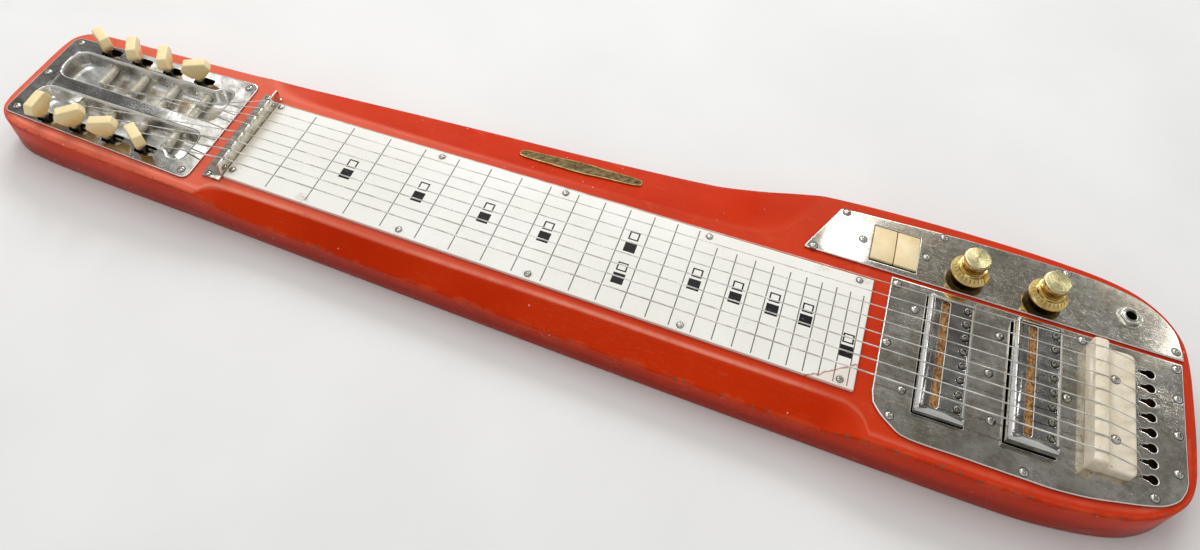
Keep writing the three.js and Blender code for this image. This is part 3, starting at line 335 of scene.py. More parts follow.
def tidy_mesh(mesh, smooth):
    """Merges doubled points, turns faces outwards and shades smooth below the given angle."""
    work = bmesh.new()
    work.from_mesh(mesh)
    bmesh.ops.remove_doubles(work, verts=work.verts, dist=0.002)
    bmesh.ops.recalc_face_normals(work, faces=work.faces)
    work.to_mesh(mesh)
    work.free()
    smooth_below(mesh, smooth)
    mesh.update()


def finish_modifiers(piece):
    """Applies what modifiers the piece has to its mesh."""
    graph = bpy.context.evaluated_depsgraph_get()
    mesh = bpy.data.meshes.new_from_object(piece.evaluated_get(graph))
    piece.modifiers.clear()
    old = piece.data
    piece.data = mesh
    mesh.name = piece.name
    bpy.data.meshes.remove(old)


def cut_out(piece, cutters):
    """Cuts the cutters' shapes out of the piece and drops them."""
    for cutter in cutters:
        cut = piece.modifiers.new("cut", "BOOLEAN")
        cut.operation = "DIFFERENCE"
        cut.solver = "EXACT"
        cut.object = cutter
    finish_modifiers(piece)
    for cutter in cutters:
        bpy.data.objects.remove(cutter)


def slab(name, outline, low, high, edge, holes=(), hole_edge=0.2, steps=3):
    """A sheet or block with a rounded upper rim, and holes through it."""
    skin = Skin()
    add_slab(skin, outline, low, high, edge, holes, hole_edge, steps=steps)
    return skin.object(name)


def add_slab(skin, outline, low, high, edge, holes=(), hole_edge=0.2, both=False, steps=3):
    """Adds a sheet or block whose upper rim, or both rims, are rounded, with holes through it."""
    quarter = [math.pi / 2 * k / steps for k in range(steps + 1)]
    tops, bottoms = [], []
    for line, way, size in [(outline, 1, edge)] + [(hole, -1, hole_edge) for hole in holes]:
        stack = [(0, low)]
        if both:
            stack = [(size * (1 - math.sin(a)), low + size * (1 - math.cos(a))) for a in quarter[:-1]]
            stack = [(size + FLAT_RIM, low), *stack, (0, low + size)]
        stack += [(size * (1 - math.cos(a)), high - size * (1 - math.sin(a))) for a in quarter]
        if size > 0.05:
            stack.append((size + FLAT_RIM, high))
        last = len(stack) - 1
        rings = skin.layers(facing(line, way), [
            (inset, z, 1.0 if 0 < k < last else 0.0) for k, (inset, z) in enumerate(stack)])
        tops.append(rings[-1])
        bottoms.append(rings[0])
    skin.close(*tops)
    skin.close(*bottoms)


def add_lathe(skin, profile, sides, centre=(0, 0, 0)):
    """Turned shape along Z from (radius, height) steps, closed on its axis."""
    x, y, z = centre
    rings = [skin.ring([(*p, z + height) for p in circle(x, y, radius, sides)])
             for radius, height in profile]
    skin.band(rings)
    skin.tip(rings[0], (x, y, z + profile[0][1]))
    skin.tip(rings[-1], (x, y, z + profile[-1][1]))


def soft_copy(node, name, width=0.3, segments=2):
    """A copy of a plain CAD solid with its flat faces merged and its edges rounded."""
    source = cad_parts[node]
    mesh = bpy.data.meshes.new(name)
    work = bmesh.new()
    work.from_mesh(source.data)
    bmesh.ops.transform(work, matrix=FIT.inverted() @ source.matrix_world, verts=work.verts)
    bmesh.ops.remove_doubles(work, verts=work.verts, dist=0.001)
    bmesh.ops.dissolve_limit(work, angle_limit=math.radians(2), verts=work.verts, edges=work.edges)
    bmesh.ops.recalc_face_normals(work, faces=work.faces)
    work.to_mesh(mesh)
    work.free()
    piece = add_object(name, mesh)
    bevel = piece.modifiers.new("soft edges", "BEVEL")
    bevel.width = width
    bevel.segments = segments
    bevel.limit_method = "ANGLE"
    bevel.angle_limit = math.radians(28)
    finish_modifiers(piece)
    smooth_below(piece.data, 40)
    return piece


def settle(piece, body, finish, replaces=()):
    """Puts a finished piece in the frame, on its body, with its finish."""
    piece.data.transform(FIT)
    piece.data.update()
    piece.data.materials.clear()
    piece.data.materials.append(finish)
    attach(piece, body)
    if replaces:
        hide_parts(*replaces)


# Finishes

def add_node(tree, kind, inputs=None, **settings):
    """Adds a node, sets it up, and links or sets what enters it."""
    made = tree.nodes.new(kind)
    for key, value in settings.items():
        setattr(made, key, value)
    for key, value in (inputs or {}).items():
        if isinstance(value, bpy.types.NodeSocket):
            tree.links.new(value, made.inputs[key])
        else:
            made.inputs[key].default_value = value
    return made


def tint(red, green, blue):
    """Colour as it looks on a screen, 0 to 255, turned to the value a shader takes."""
    return tuple(((c / 255) / 12.92 if c <= 10 else ((c / 255 + 0.055) / 1.055) ** 2.4)
                 for c in (red, green, blue)) + (1.0,)


def math_node(operation, swapped=False):
    """A method of Flow that adds one Math node, fed by the Flow and by what else it is given."""
    def method(self, *others):
        parts = (*others, self) if swapped else (self, *others)
        return self.finish.node("ShaderNodeMath", dict(enumerate(parts)), operation=operation)
    return method


class Flow:
    """A number that runs through a finish's nodes: sums on it add Math nodes."""

    def __init__(self, finish, socket):
        self.finish = finish
        self.socket = socket

    __add__ = __radd__ = math_node("ADD")
    __mul__ = __rmul__ = math_node("MULTIPLY")
    __sub__ = math_node("SUBTRACT")
    __rsub__ = math_node("SUBTRACT", swapped=True)
    __truediv__ = math_node("DIVIDE")
    __mod__ = math_node("FLOORED_MODULO")
    __pow__ = math_node("POWER")
    __lt__ = math_node("LESS_THAN")
    __gt__ = math_node("GREATER_THAN")
    __abs__ = math_node("ABSOLUTE")
    most = math_node("MAXIMUM")
    least = math_node("MINIMUM")
    wave = math_node("SINE")
    log = math_node("LOGARITHM")


class Finish:
    """One material while it is being made."""

    def __init__(self, name, **fixed):
        self.material = bpy.data.materials.new(name)
        self.material.use_nodes = True
        self.tree = self.material.node_tree
        self.shader = self.tree.nodes["Principled BSDF"]
        for socket, value in fixed.items():
            self.shader.inputs[socket.replace("_", " ")].default_value = value
        self._place = None
        self.colour = None

    def node(self, kind, inputs=None, out=0, **settings):
        """Adds a node whose inputs are numbers, colours or Flows, and gives one of its outputs."""
        entering = {key: value.socket if isinstance(value, Flow) else value
                    for key, value in (inputs or {}).items()}
        return Flow(self, add_node(self.tree, kind, entering, **settings).outputs[out])

    def place(self):
        if self._place is None:
            self._place = self.node("ShaderNodeTexCoord", out="Object")
        return self._place

    def along(self):
        """Distances from the nut line and the middle line, and height, in mm."""
        parts = self.node("ShaderNodeSeparateXYZ", {0: self.place()})
        x, y, z = (Flow(self, parts.socket.node.outputs[k]) for k in range(3))
        return x * 1000 - NUT_LINE, y * 1000 - MIDDLE_LINE, z * 1000

    def mark(self, name):
        """What the mesh's points carry under a name, such as how worn they are."""
        return self.node("ShaderNodeAttribute", out="Fac", attribute_name=name)

    def stretched(self, x, y, z):
        return self.node("ShaderNodeMapping", {"Vector": self.place(), "Scale": (x, y, z)})

    def noise(self, size, detail=3, rough=0.5, place=None, twist=0.0):
        """Cloudy pattern whose patches are about size mm across."""
        return self.node("ShaderNodeTexNoise", {
            "Vector": place or self.place(), "Scale": 1000 / size, "Detail": detail,
            "Roughness": rough, "Distortion": twist}, "Fac")

    def cells(self, size):
        """Distance from the nearest of many points strewn about size mm apart."""
        return self.node("ShaderNodeTexVoronoi", {
            "Vector": self.place(), "Scale": 1000 / size}, "Distance")

    def window(self, value, low, high, start=0.0, end=1.0):
        """Smooth change from start to end as value goes from low to high."""
        return self.node("ShaderNodeMapRange", {
            "Value": value, "From Min": low, "From Max": high, "To Min": start, "To Max": end},
            interpolation_type="SMOOTHSTEP")

    def blend(self, share, first, second):
        """Colour that goes from the first to the second as share goes from 0 to 1."""
        return self.node("ShaderNodeMix", {0: share, 6: first, 7: second}, 2, data_type="RGBA")

    def relief(self, height, depth, before=None):
        """Bump from a height of 0 to 1 that stands depth mm deep."""
        inputs = {"Height": height, "Distance": depth / 1000, "Strength": 1.0}
        if before is not None:
            inputs["Normal"] = before
        return self.node("ShaderNodeBump", inputs, "Normal")

    def cover(self, share, red, green, blue):
        """Lays a colour over the finish's own, as strongly as share says."""
        self.colour = self.blend(share, self.colour, tint(red, green, blue))

    def use(self, **sockets):
        """Feeds the shader's sockets, the colour's too, and gives the finished material."""
        for socket, value in {"Base Color": self.colour, **sockets}.items():
            self.tree.links.new(value.socket, self.shader.inputs[socket.replace("_", " ")])
        return self.material


def scratches(finish, size, thin, turn):
    """Thin straight scratches: stretched noise, cut at a level."""
    vector = finish.node("ShaderNodeMapping", {
        "Vector": finish.place(), "Rotation": (0, 0, turn), "Scale": (1, 22, 1)})
    lines = finish.noise(size, 2, 0.5, vector)
    return finish.window(abs(lines - 0.5), 0.0, thin, 1.0, 0.0)


def vermilion_paint():
    """Gloss vermilion over wood: uneven tone, chips and worn places along the edges, with a painted glare
    on the deck near the nut, a painted highlight along the near crease and painted shade low on the walls.
    """
    f = Finish("vermilion_paint", IOR=1.45, Specular_IOR_Level=0.16, Specular_Tint=(1, 0.5, 0.3, 1))
    looks = bpy.context.scene.guitar_finishes
    tone = f.noise(90, 3, 0.55)
    fine = f.noise(7, 4, 0.6)
    f.colour = f.blend(f.window(tone, 0.3, 0.7), looks.paint_deep, looks.paint)
    f.cover(f.window(fine, 0.55, 0.8, 0, 0.2), 212, 70, 34)
    x, y, z = f.along()
    # Painted highlight: a pale pink glare on the deck, strongest near the nut and fading towards the tail
    painted_deck_glare = f.window(x + tone * 60, -60, 360, 0.8, 0.08) * f.window(z, 29.6, 30.9)
    f.cover(painted_deck_glare, 228, 114, 90)
    # Painted shade: the walls grow darker and deeper red towards the floor
    f.cover(f.window(z + fine * 6, 10, 25, 0.75, 0), 136, 24, 5)
    worn = f.mark("edge_wear")
    rubbed = f.window(f.noise(16, 4, 0.65) + worn * 0.16, 0.62, 0.74) * worn
    chips = f.window(f.noise(3.2, 4, 0.7) + worn * 0.2, 0.79, 0.82) * f.window(worn, 0.25, 0.6)
    f.cover(rubbed * 0.3, 216, 96, 62)
    f.cover(chips, 120, 92, 76)
    # Painted highlight: a pale pink line along the near crease, laid by a mark of the mesh and weaker past
    # the bevel's tail end
    sheen = f.mark("rubbed") * f.window(tone + fine * 0.4, 0.5, 0.9, 0.2, 0.75) * (y < 0)
    f.cover(sheen * f.window(x, 380, 440, 1, 0.3), 238, 150, 126)
    marks = scratches(f, 30, 0.004, 0.5) * f.window(f.noise(60, 2), 0.5, 0.62)
    marks = marks.most(scratches(f, 42, 0.003, 2.1) * f.window(f.noise(45, 2), 0.52, 0.6))
    f.cover(marks * 0.35, 232, 140, 110)
    specks = f.window(f.cells(9), 0.055, 0.085, 1, 0) * f.window(f.noise(30, 2), 0.5, 0.6)
    f.cover(specks * 0.6, 235, 190, 170)
    # Bare wood inside the pockets, its colour darkened as painted shade
    grain = f.noise(9, 3, 0.6, f.stretched(0.3, 2, 2))
    wood = f.blend(f.window(grain, 0.3, 0.7), tint(46, 32, 22), tint(74, 52, 34))
    f.colour = f.blend(f.mark("bare"), f.colour, wood)
    level = chips * -0.8 + marks * -0.25 + f.noise(2.4, 2) * 0.05 + f.noise(26, 2) * 0.5
    rough = f.window(f.noise(40, 3), 0.3, 0.75, 0.24, 0.4) + chips * 0.3 + rubbed * 0.15
    return f.use(Roughness=rough, Normal=f.relief(level, 0.16))


def pitted_chrome(name, base, dull, pits=1.0, size=1.0, crease=None):
    """Old chrome plate: clouded patches, pits, hairline scratches and brown freckles, with painted
    highlights along its marked rims.

    A crease, given by its place on the middle line and its slant, is a faint fold across a plate."""
    f = Finish(name, Metallic=1.0)
    clouds = f.noise(34 * size, 4, 0.6, twist=0.6)
    wipes = f.noise(26 * size, 3, 0.6, f.stretched(0.35, 1.6, 1))
    f.colour = f.blend(f.window(clouds, 0.32, 0.7), dull, base)
    f.cover(f.window(wipes, 0.5, 0.75, 0, 0.4), 228, 226, 220)
    f.cover(f.window(f.noise(4.5, 4, 0.7), 0.46, 0.6, 0, 0.3), 112, 106, 92)
    pit = f.window(f.cells(2.6), 0.11, 0.2, 1, 0) * f.window(f.noise(17 * size, 3, 0.6), 0.47, 0.62)
    freckle = f.window(f.noise(1.7, 4, 0.75), 0.6, 0.7) * f.window(f.noise(30 * size, 3), 0.5, 0.68)
    f.cover(pit * pits, 78, 72, 62)
    f.cover(freckle * 0.5 * pits, 132, 118, 92)
    satin, worn = f.mark("satin"), f.mark("edge_wear")
    # Painted highlight: near-white, less metallic colour along the rims that carry the edge mark
    painted_glint = f.window(worn, 0.55, 1.0, 0, 0.8)
    f.cover(painted_glint, 250, 250, 247)
    f.cover(satin * f.window(clouds, 0.36, 0.58, 0.2, 0.9), 242, 241, 238)
    hair = scratches(f, 22, 0.006, 0.2).most(scratches(f, 26, 0.005, 1.35))
    hair = hair.most(scratches(f, 34, 0.005, 2.6)) * f.window(f.noise(38, 2), 0.42, 0.6)
    rough = f.window(clouds, 0.3, 0.72, 0.13, 0.05) + pit * 0.35 + freckle * 0.25 + hair * 0.16
    rough = rough + satin * f.window(f.noise(15, 3), 0.35, 0.65, 0.12, 0.28)
    fleck = f.window(f.noise(1.3, 3, 0.7), 0.61, 0.68) * f.window(f.noise(21 * size, 3), 0.4, 0.62)
    rough = rough + fleck * 0.3 + painted_glint * 0.1
    level = f.noise(16 * size, 2) * 0.4 - (pit * 0.4 + hair * 0.08) * (1 - worn)
    normal = f.relief(level, 0.07)
    if crease:
        start, slant = crease
        x, y, z = f.along()
        away = abs(x - start - y * slant)
        pressed = f.window(away, 0.4, 1.7, 1, 0) * f.window(abs(y - 1), 24, 27, 1, 0) * (z > 32)
        normal = f.relief(pressed, 0.8, normal)
    return f.use(Roughness=rough, Normal=normal, Metallic=1 - painted_glint * 0.5)


def plain_metal(name, base, dark, rough, grain, metallic=1.0):
    """Metal of small parts: tarnish in patches, and painted shade where the mesh is marked for it."""
    f = Finish(name, Metallic=metallic)
    cloud = f.noise(grain, 4, 0.6)
    fine = f.noise(grain / 6, 3, 0.6)
    f.colour = f.blend(f.window(cloud + fine * 0.3, 0.42, 0.82), dark, base)
    grime = f.mark("grime")
    # Painted shade: near-black where marked, round the foot of screw heads, in their dishes and recesses
    f.cover(grime * 0.9, 34, 30, 26)
    level = fine * 0.4 + cloud * 0.6
    rough = f.window(cloud, 0.3, 0.7, rough[1], rough[0]) + grime * 0.4
    return f.use(Roughness=rough, Normal=f.relief(level, 0.03))


def button_cream():
    """Cream plastic of the tuner buttons, darker and deeper yellow lower down and scuffed at the corners.
    """
    f = Finish("button_cream", IOR=1.48, Subsurface_Weight=0.08, Subsurface_Scale=0.002)
    f.shader.inputs["Subsurface Radius"].default_value = (1.0, 0.6, 0.3)
    z = f.along()[2]
    # Darker and deeper yellow towards the bottom of each button
    lower_tone = f.window(z + f.noise(9, 3) * 10, 41, 56, 1, 0)
    f.colour = f.blend(lower_tone, tint(246, 226, 172), tint(226, 180, 102))
    f.cover(f.window(f.noise(5, 4, 0.6), 0.5, 0.75, 0, 0.5), 250, 236, 200)
    f.cover(f.window(f.noise(1.6, 3), 0.66, 0.74, 0, 0.4), 170, 120, 62)
    rough = f.window(f.noise(6, 3), 0.3, 0.7, 0.28, 0.5)
    return f.use(Roughness=rough, Normal=f.relief(f.noise(3, 3), 0.12))


def fret_lines(f, x, y):
    """Lines by the equal-tempered rule, drawn in from the far edge past the 14th fret."""
    number = (1 - x / SCALE_LENGTH).log(math.e) * -FRET_GROWTH
    nearest = number + 0.5 - (number + 0.5) % 1
    away = abs(number - nearest) * (SCALE_LENGTH - x) / FRET_GROWTH
    reach = x * LINE_GROWTH + LINE_REACH
    drawn_in = f.window(number, 14.4, 14.6)
    far_reach = reach - drawn_in * (reach - 28.6 + (x - 330) * 0.02)
    across = (y < far_reach) * (y > reach * -1)
    return (away < LINE_HALF) * across * (number > 0.5) * (number < 24.4)


def fret_marks(x, y):
    """A filled square and a hollow one at each marked fret, halfway to the line before it."""
    def square(middle, row, halves):
        return (abs(x - middle) < halves[0]) * (abs(y - row) < halves[1])
    marks = []
    for fret, row in [(fret, 0.0) for fret in MARKED_FRETS] + SIDE_MARKS:
        middle = sum(SCALE_LENGTH * (1 - 2 ** (-n / 12)) for n in (fret - 1, fret)) / 2
        marks.append(square(middle, row + FILLED_ROW, FILLED_HALVES))
        outer, inner = (square(middle, row + HOLLOW_ROW, halves) for halves in HOLLOW_HALVES)
        marks.append(outer - inner)
    return sum(marks).least(1)


def stains(f, x, y, spots, grain, ragged, full, rim, strength):
    """Discs round the spots, strong up to the full distance and gone at their ragged rims."""
    shift = f.noise(grain, 4, 0.7) * ragged
    discs = [f.window(((x - sx) ** 2 + (y - sy) ** 2) ** 0.5 + shift, full, rim, strength, 0)
             for sx, sy in spots]
    return reduce(Flow.most, discs)


def white_board():
    """White fretboard with printed fret lines and plain marks, under a flaking clear sheet."""
    f = Finish("white_board", IOR=1.5, Specular_IOR_Level=0.2, Coat_Weight=0.05, Coat_Roughness=0.1)
    x, y, _ = f.along()
    ink = (fret_lines(f, x, y) * 0.86).most(fret_marks(x, y))
    ink = ink * f.window(f.noise(1.4, 3), 0.2, 0.34, 0.55, 1)
    flake_line = (x - 404) * 0.62 - (y + 41) + f.noise(8, 3) * 9 - 4.5
    tail_corner = (x > 402) * (y < -20)
    flaked = f.window(flake_line, 0, 0.5) * tail_corner
    rim = f.window(abs(flake_line), 0.2, 1.1, 1, 0) * tail_corner
    stain = stains(f, x, y, BOARD_SCREWS, 2.2, 9, 6, 8.4, 1)
    stain = stain.most(stains(f, x, y, WIDE_STAINS, 4, 12, 8, 13, 0.7))
    f.colour = f.blend(f.window(f.noise(60, 3), 0.3, 0.7), tint(250, 249, 243), tint(243, 241, 232))
    f.cover(f.window(f.noise(2, 4), 0.62, 0.74, 0, 0.2), 200, 190, 168)
    edge = f.window(f.mark("edge_wear") + f.noise(4, 3) * 0.4, 0.75, 1.1, 0, 0.6)
    f.cover(edge, 214, 186, 160)
    f.cover(stain * f.window(f.noise(1.2, 3), 0.4, 0.65, 0.1, 0.6), 160, 130, 96)
    shade = f.window(x + f.noise(9, 2) * 3, 3, 13, 0.42, 0) * (abs(y) < 33)
    f.cover(shade, 206, 192, 160)
    f.cover(ink, 26, 25, 26)
    f.cover(flaked * 0.22, 226, 176, 156)
    f.cover(rim * 0.75, 168, 92, 72)
    level = f.noise(20, 2) * 0.3 + ink * 0.04 - flaked * 0.5
    rough = f.window(f.noise(30, 3), 0.3, 0.7, 0.16, 0.3) + flaked * 0.3
    return f.use(Roughness=rough, Normal=f.relief(level, 0.15))


def wound_coil():
    """Ochre coil former, flecked brown and gold."""
    f = Finish("ochre_flecks", IOR=1.45)
    flecks = f.noise(1.5, 3, 0.7, f.stretched(1, 0.55, 1))
    f.colour = f.blend(f.window(flecks, 0.36, 0.62), tint(98, 60, 28), tint(184, 132, 66))
    f.cover(f.window(f.cells(1.4), 0.1, 0.2, 0.8, 0), 230, 186, 100)
    return f.use(Roughness=f.window(flecks, 0.3, 0.7, 0.7, 0.4),
                 Normal=f.relief(flecks, 0.5))


def marbled_cream():
    """Moulded bridge plastic: cream clouds, faint streaks and a few brown spots."""
    f = Finish("marbled_cream", IOR=1.49, Subsurface_Weight=0.06, Subsurface_Scale=0.002,
               Coat_Weight=0.2, Coat_Roughness=0.2)
    streak = f.noise(14, 4, 0.6, f.stretched(1.1, 0.4, 1), 1.4)
    f.colour = f.blend(f.window(streak, 0.3, 0.7), tint(238, 229, 208), tint(222, 207, 178))
    f.cover(f.window(f.noise(7, 4, 0.65), 0.52, 0.7, 0, 0.5), 244, 238, 222)
    f.cover(f.window(f.noise(3.4, 3), 0.67, 0.76, 0, 0.6), 168, 126, 76)
    rough = f.window(streak, 0.3, 0.7, 0.24, 0.42)
    return f.use(Roughness=rough, Normal=f.relief(f.noise(6, 3), 0.18))


def tab_cream():
    """Cream rocker tabs with a faint handled sheen."""
    f = Finish("tab_cream", IOR=1.48, Subsurface_Weight=0.06, Subsurface_Scale=0.002)
    cloud = f.noise(16, 3)
    f.colour = f.blend(f.window(cloud, 0.3, 0.7), tint(240, 220, 176), tint(230, 204, 152))
    worn = f.mark("edge_wear") + f.noise(3, 3) * 0.5
    f.cover(f.window(worn, 0.9, 1.3, 0, 0.5), 188, 150, 96)
    f.cover(f.window(f.noise(1.3, 3), 0.68, 0.76, 0, 0.35), 150, 112, 66)
    return f.use(Roughness=f.window(cloud, 0.3, 0.7, 0.22, 0.4),
                 Normal=f.relief(f.noise(5, 3), 0.08))


def dark_moulding():
    """Near-black plastic of the switch box."""
    f = Finish("dark_moulding", IOR=1.46)
    dust = f.noise(3, 4, 0.7)
    f.colour = f.blend(f.window(dust, 0.45, 0.8), tint(24, 22, 21), tint(74, 68, 60))
    return f.use(Roughness=f.window(dust, 0.3, 0.7, 0.35, 0.7),
                 Normal=f.relief(dust, 0.06))


def gold_plate():
    """Gold-coloured metal of the knobs: a paler cap, a ticked skirt with painted shade round its foot,
    painted shade on the neck under the cap, dirt where fingers miss.
    """
    f = Finish("gold_plate", Metallic=1.0)
    z = f.along()[2]
    cloud = f.noise(5, 4, 0.6)
    f.colour = f.blend(f.window(cloud, 0.32, 0.7), tint(228, 194, 112), tint(250, 222, 150))
    f.cover(f.window(z, 52.4, 53.6), 220, 208, 158)
    dirt = f.window(f.noise(1.8, 4), 0.56, 0.7, 0, 0.5) * f.window(z, 44, 50, 1, 0)
    f.cover(dirt, 150, 108, 44)
    # Painted shade: the narrow neck under the cap's overhang drawn dark brown
    neck = f.window(z, 44.6, 45.4) * f.window(z, 49.4, 50.4, 1, 0)
    f.cover(neck * 0.75, 118, 80, 36)
    # Printed ticks, and painted shade round the skirt's foot, both from the same mark
    f.cover(f.mark("tick") * 0.85, 52, 38, 20)
    rough = f.window(cloud, 0.3, 0.7, 0.26, 0.16) + f.mark("tick") * 0.3
    rough = rough + f.window(z, 52.4, 53.6, 0, 0.04)
    return f.use(Roughness=rough, Normal=f.relief(cloud, 0.03))


def aged_brass():
    """Bare name plate: dull brass rim, darkened field and a worn middle."""
    f = Finish("aged_brass", Metallic=1.0)
    cloud = f.noise(7, 4, 0.65)
    f.colour = f.blend(f.window(cloud, 0.3, 0.72), tint(150, 126, 78), tint(206, 180, 122))
    inner = 1 - f.window(f.mark("rim"), 0.05, 0.5)
    f.cover(inner * f.window(f.noise(3, 3), 0.35, 0.65, 0.5, 0.85), 60, 48, 30)
    f.cover(f.window(f.noise(1.6, 4), 0.6, 0.74, 0, 0.6), 64, 50, 30)
    level = cloud * 0.5 + f.noise(1.2, 3) * 0.4
    return f.use(Roughness=f.window(cloud, 0.3, 0.7, 0.55, 0.32),
                 Normal=f.relief(level, 0.1))


def string_wire():
    """Wound steel strings, greyed with use."""
    f = Finish("string_wire", Metallic=0.4)
    x = f.along()[0]
    turns = (x * (2 * math.pi / 0.55)).wave() * 0.5 + 0.5
    dull = f.noise(11, 3)
    f.colour = f.blend(f.window(dull, 0.35, 0.7), tint(186, 182, 174), tint(240, 238, 232))
    return f.use(Roughness=f.window(dull, 0.3, 0.7, 0.4, 0.24),
                 Normal=f.relief(turns, 0.06))


# The body

# Sides and corners by shares of the slab's length and of its half width, near and far
NEAR_WIDTH, FAR_WIDTH = 70, 103.7
NEAR_SIDE = [
    (0.0246, 0.678), (0.045, 0.713), (0.101, 0.748), (0.224, 0.79), (0.409, 0.864), (0.594, 0.93),
    (0.778, 0.978), (0.862, 0.995), (0.901, 0.985), (0.942, 0.92), (0.963, 0.848), (0.98, 0.732),
    (0.9925, 0.58), (0.998, 0.41), (1, 0.12)]
FAR_SIDE = [
    (0.0246, 0.482), (0.101, 0.512), (0.15, 0.526), (0.2, 0.55), (0.286, 0.637), (0.409, 0.737),
    (0.532, 0.824), (0.655, 0.913), (0.7, 0.956), (0.74, 0.982), (0.815, 1), (0.889, 0.99),
    (0.94, 0.951), (0.964, 0.893), (0.983, 0.787), (0.9945, 0.65), (0.9985, 0.497), (1, 0.2)]
NEAR_CORNER = [(0, 0.05), (0, 0.3), (0.0006, 0.405), (0.0033, 0.515), (0.0125, 0.62)]
FAR_CORNER = [(0, 0.05), (0, 0.2), (0.0006, 0.29), (0.0033, 0.385), (0.0123, 0.455)]
# Where the deck ends, by shares of the string length and of its half width, and how deep the bevels
# fall, by shares of the string length and of their drop
BEVELS = {
    "near": {
        "land": [(-0.03, 1.33), (-0.022, 1.26), (-0.014, 1.1), (-0.006, 1.02), (0.006, 1), (0.09, 1.002),
                 (0.26, 1.044), (0.44, 1.06), (0.61, 1.098), (0.7, 1.11), (0.75, 1.125), (0.762, 1.18),
                 (0.774, 1.3), (0.786, 1.7)],
        "depth": [(-0.045, -0.1), (-0.035, 0), (0, 0.42), (0.025, 0.82), (0.06, 1), (0.3, 0.97),
                  (0.6, 0.85), (0.7, 0.82), (0.735, 0.74), (0.755, 0.42), (0.775, 0.1), (0.79, -0.1)],
        "drop": 9.8},
    "far": {
        "land": [(-0.035, 1.31), (-0.02, 1.13), (-0.007, 1.02), (0.008, 1), (0.16, 1.02), (0.33, 1.06),
                 (0.5, 1.13), (0.6, 1.19), (0.63, 1.27), (0.65, 1.46), (0.667, 1.8), (0.682, 2.15),
                 (0.7, 2.4)],
        "depth": [(-0.045, -0.1), (-0.03, 0), (0.08, 0.41), (0.17, 0.58), (0.25, 0.72), (0.42, 0.96),
                  (0.5, 1), (0.55, 0.97), (0.6, 0.68), (0.64, 0.34), (0.68, 0.02), (0.7, -0.1)],
        "drop": 14.4}}
LAND_WIDTH = 43.0
BODY_START, BODY_LENGTH = -182.0, 812.0
POINT_SPACING = 2.4
CREASE = 1.3
RIM_WIDTH = 5


def body_line():
    """The slab's outline, anticlockwise from the head's near corner."""
    near = [(x, -y * NEAR_WIDTH) for x, y in NEAR_CORNER + NEAR_SIDE]
    far = [(x, y * FAR_WIDTH) for x, y in FAR_CORNER + FAR_SIDE]
    points = [(BODY_START + x * BODY_LENGTH, y) for x, y in near + far[::-1]]
    return even_spacing(curve_through(points, 14), POINT_SPACING)


def wall_at(line, sign):
    """The wall's distance from the middle line along one side, as a function of X."""
    side = sorted((p.x, abs(p.y)) for p in line if p.y * sign > 0)
    places = [x for x, _ in side]

    def reach(x):
        k = min(max(bisect(places, x), 1), len(side) - 1)
        (x0, y0), (x1, y1) = side[k - 1:k + 1]
        share = min(max((x - x0) / max(x1 - x0, 1e-6), 0), 1)
        return y0 + share * (y1 - y0)
    return reach


def bevel_at(side, x, wall):
    """Where the deck ends at x, and how steeply the bevel falls from there."""
    cut = BEVELS[side]
    share = x / SCALE_LENGTH
    land = share_at(cut["land"], share) * LAND_WIDTH
    drop = share_at(cut["depth"], share) * cut["drop"]
    if not cut["land"][0][0] < share < cut["land"][-1][0] or drop <= 0:
        return land, 0.0
    return land, drop / max(wall - land, 3)


def surface(x, y, walls):
    """Height of the slab's top: flat deck, soft crease and bevel."""
    side = "far" if y > 0 else "near"
    land, slope = bevel_at(side, x, walls[side](x))
    past = abs(y) - land
    soft = 0 if past < -CREASE else past if past > CREASE else (past + CREASE) ** 2 / (4 * CREASE)
    return DECK - slope * soft


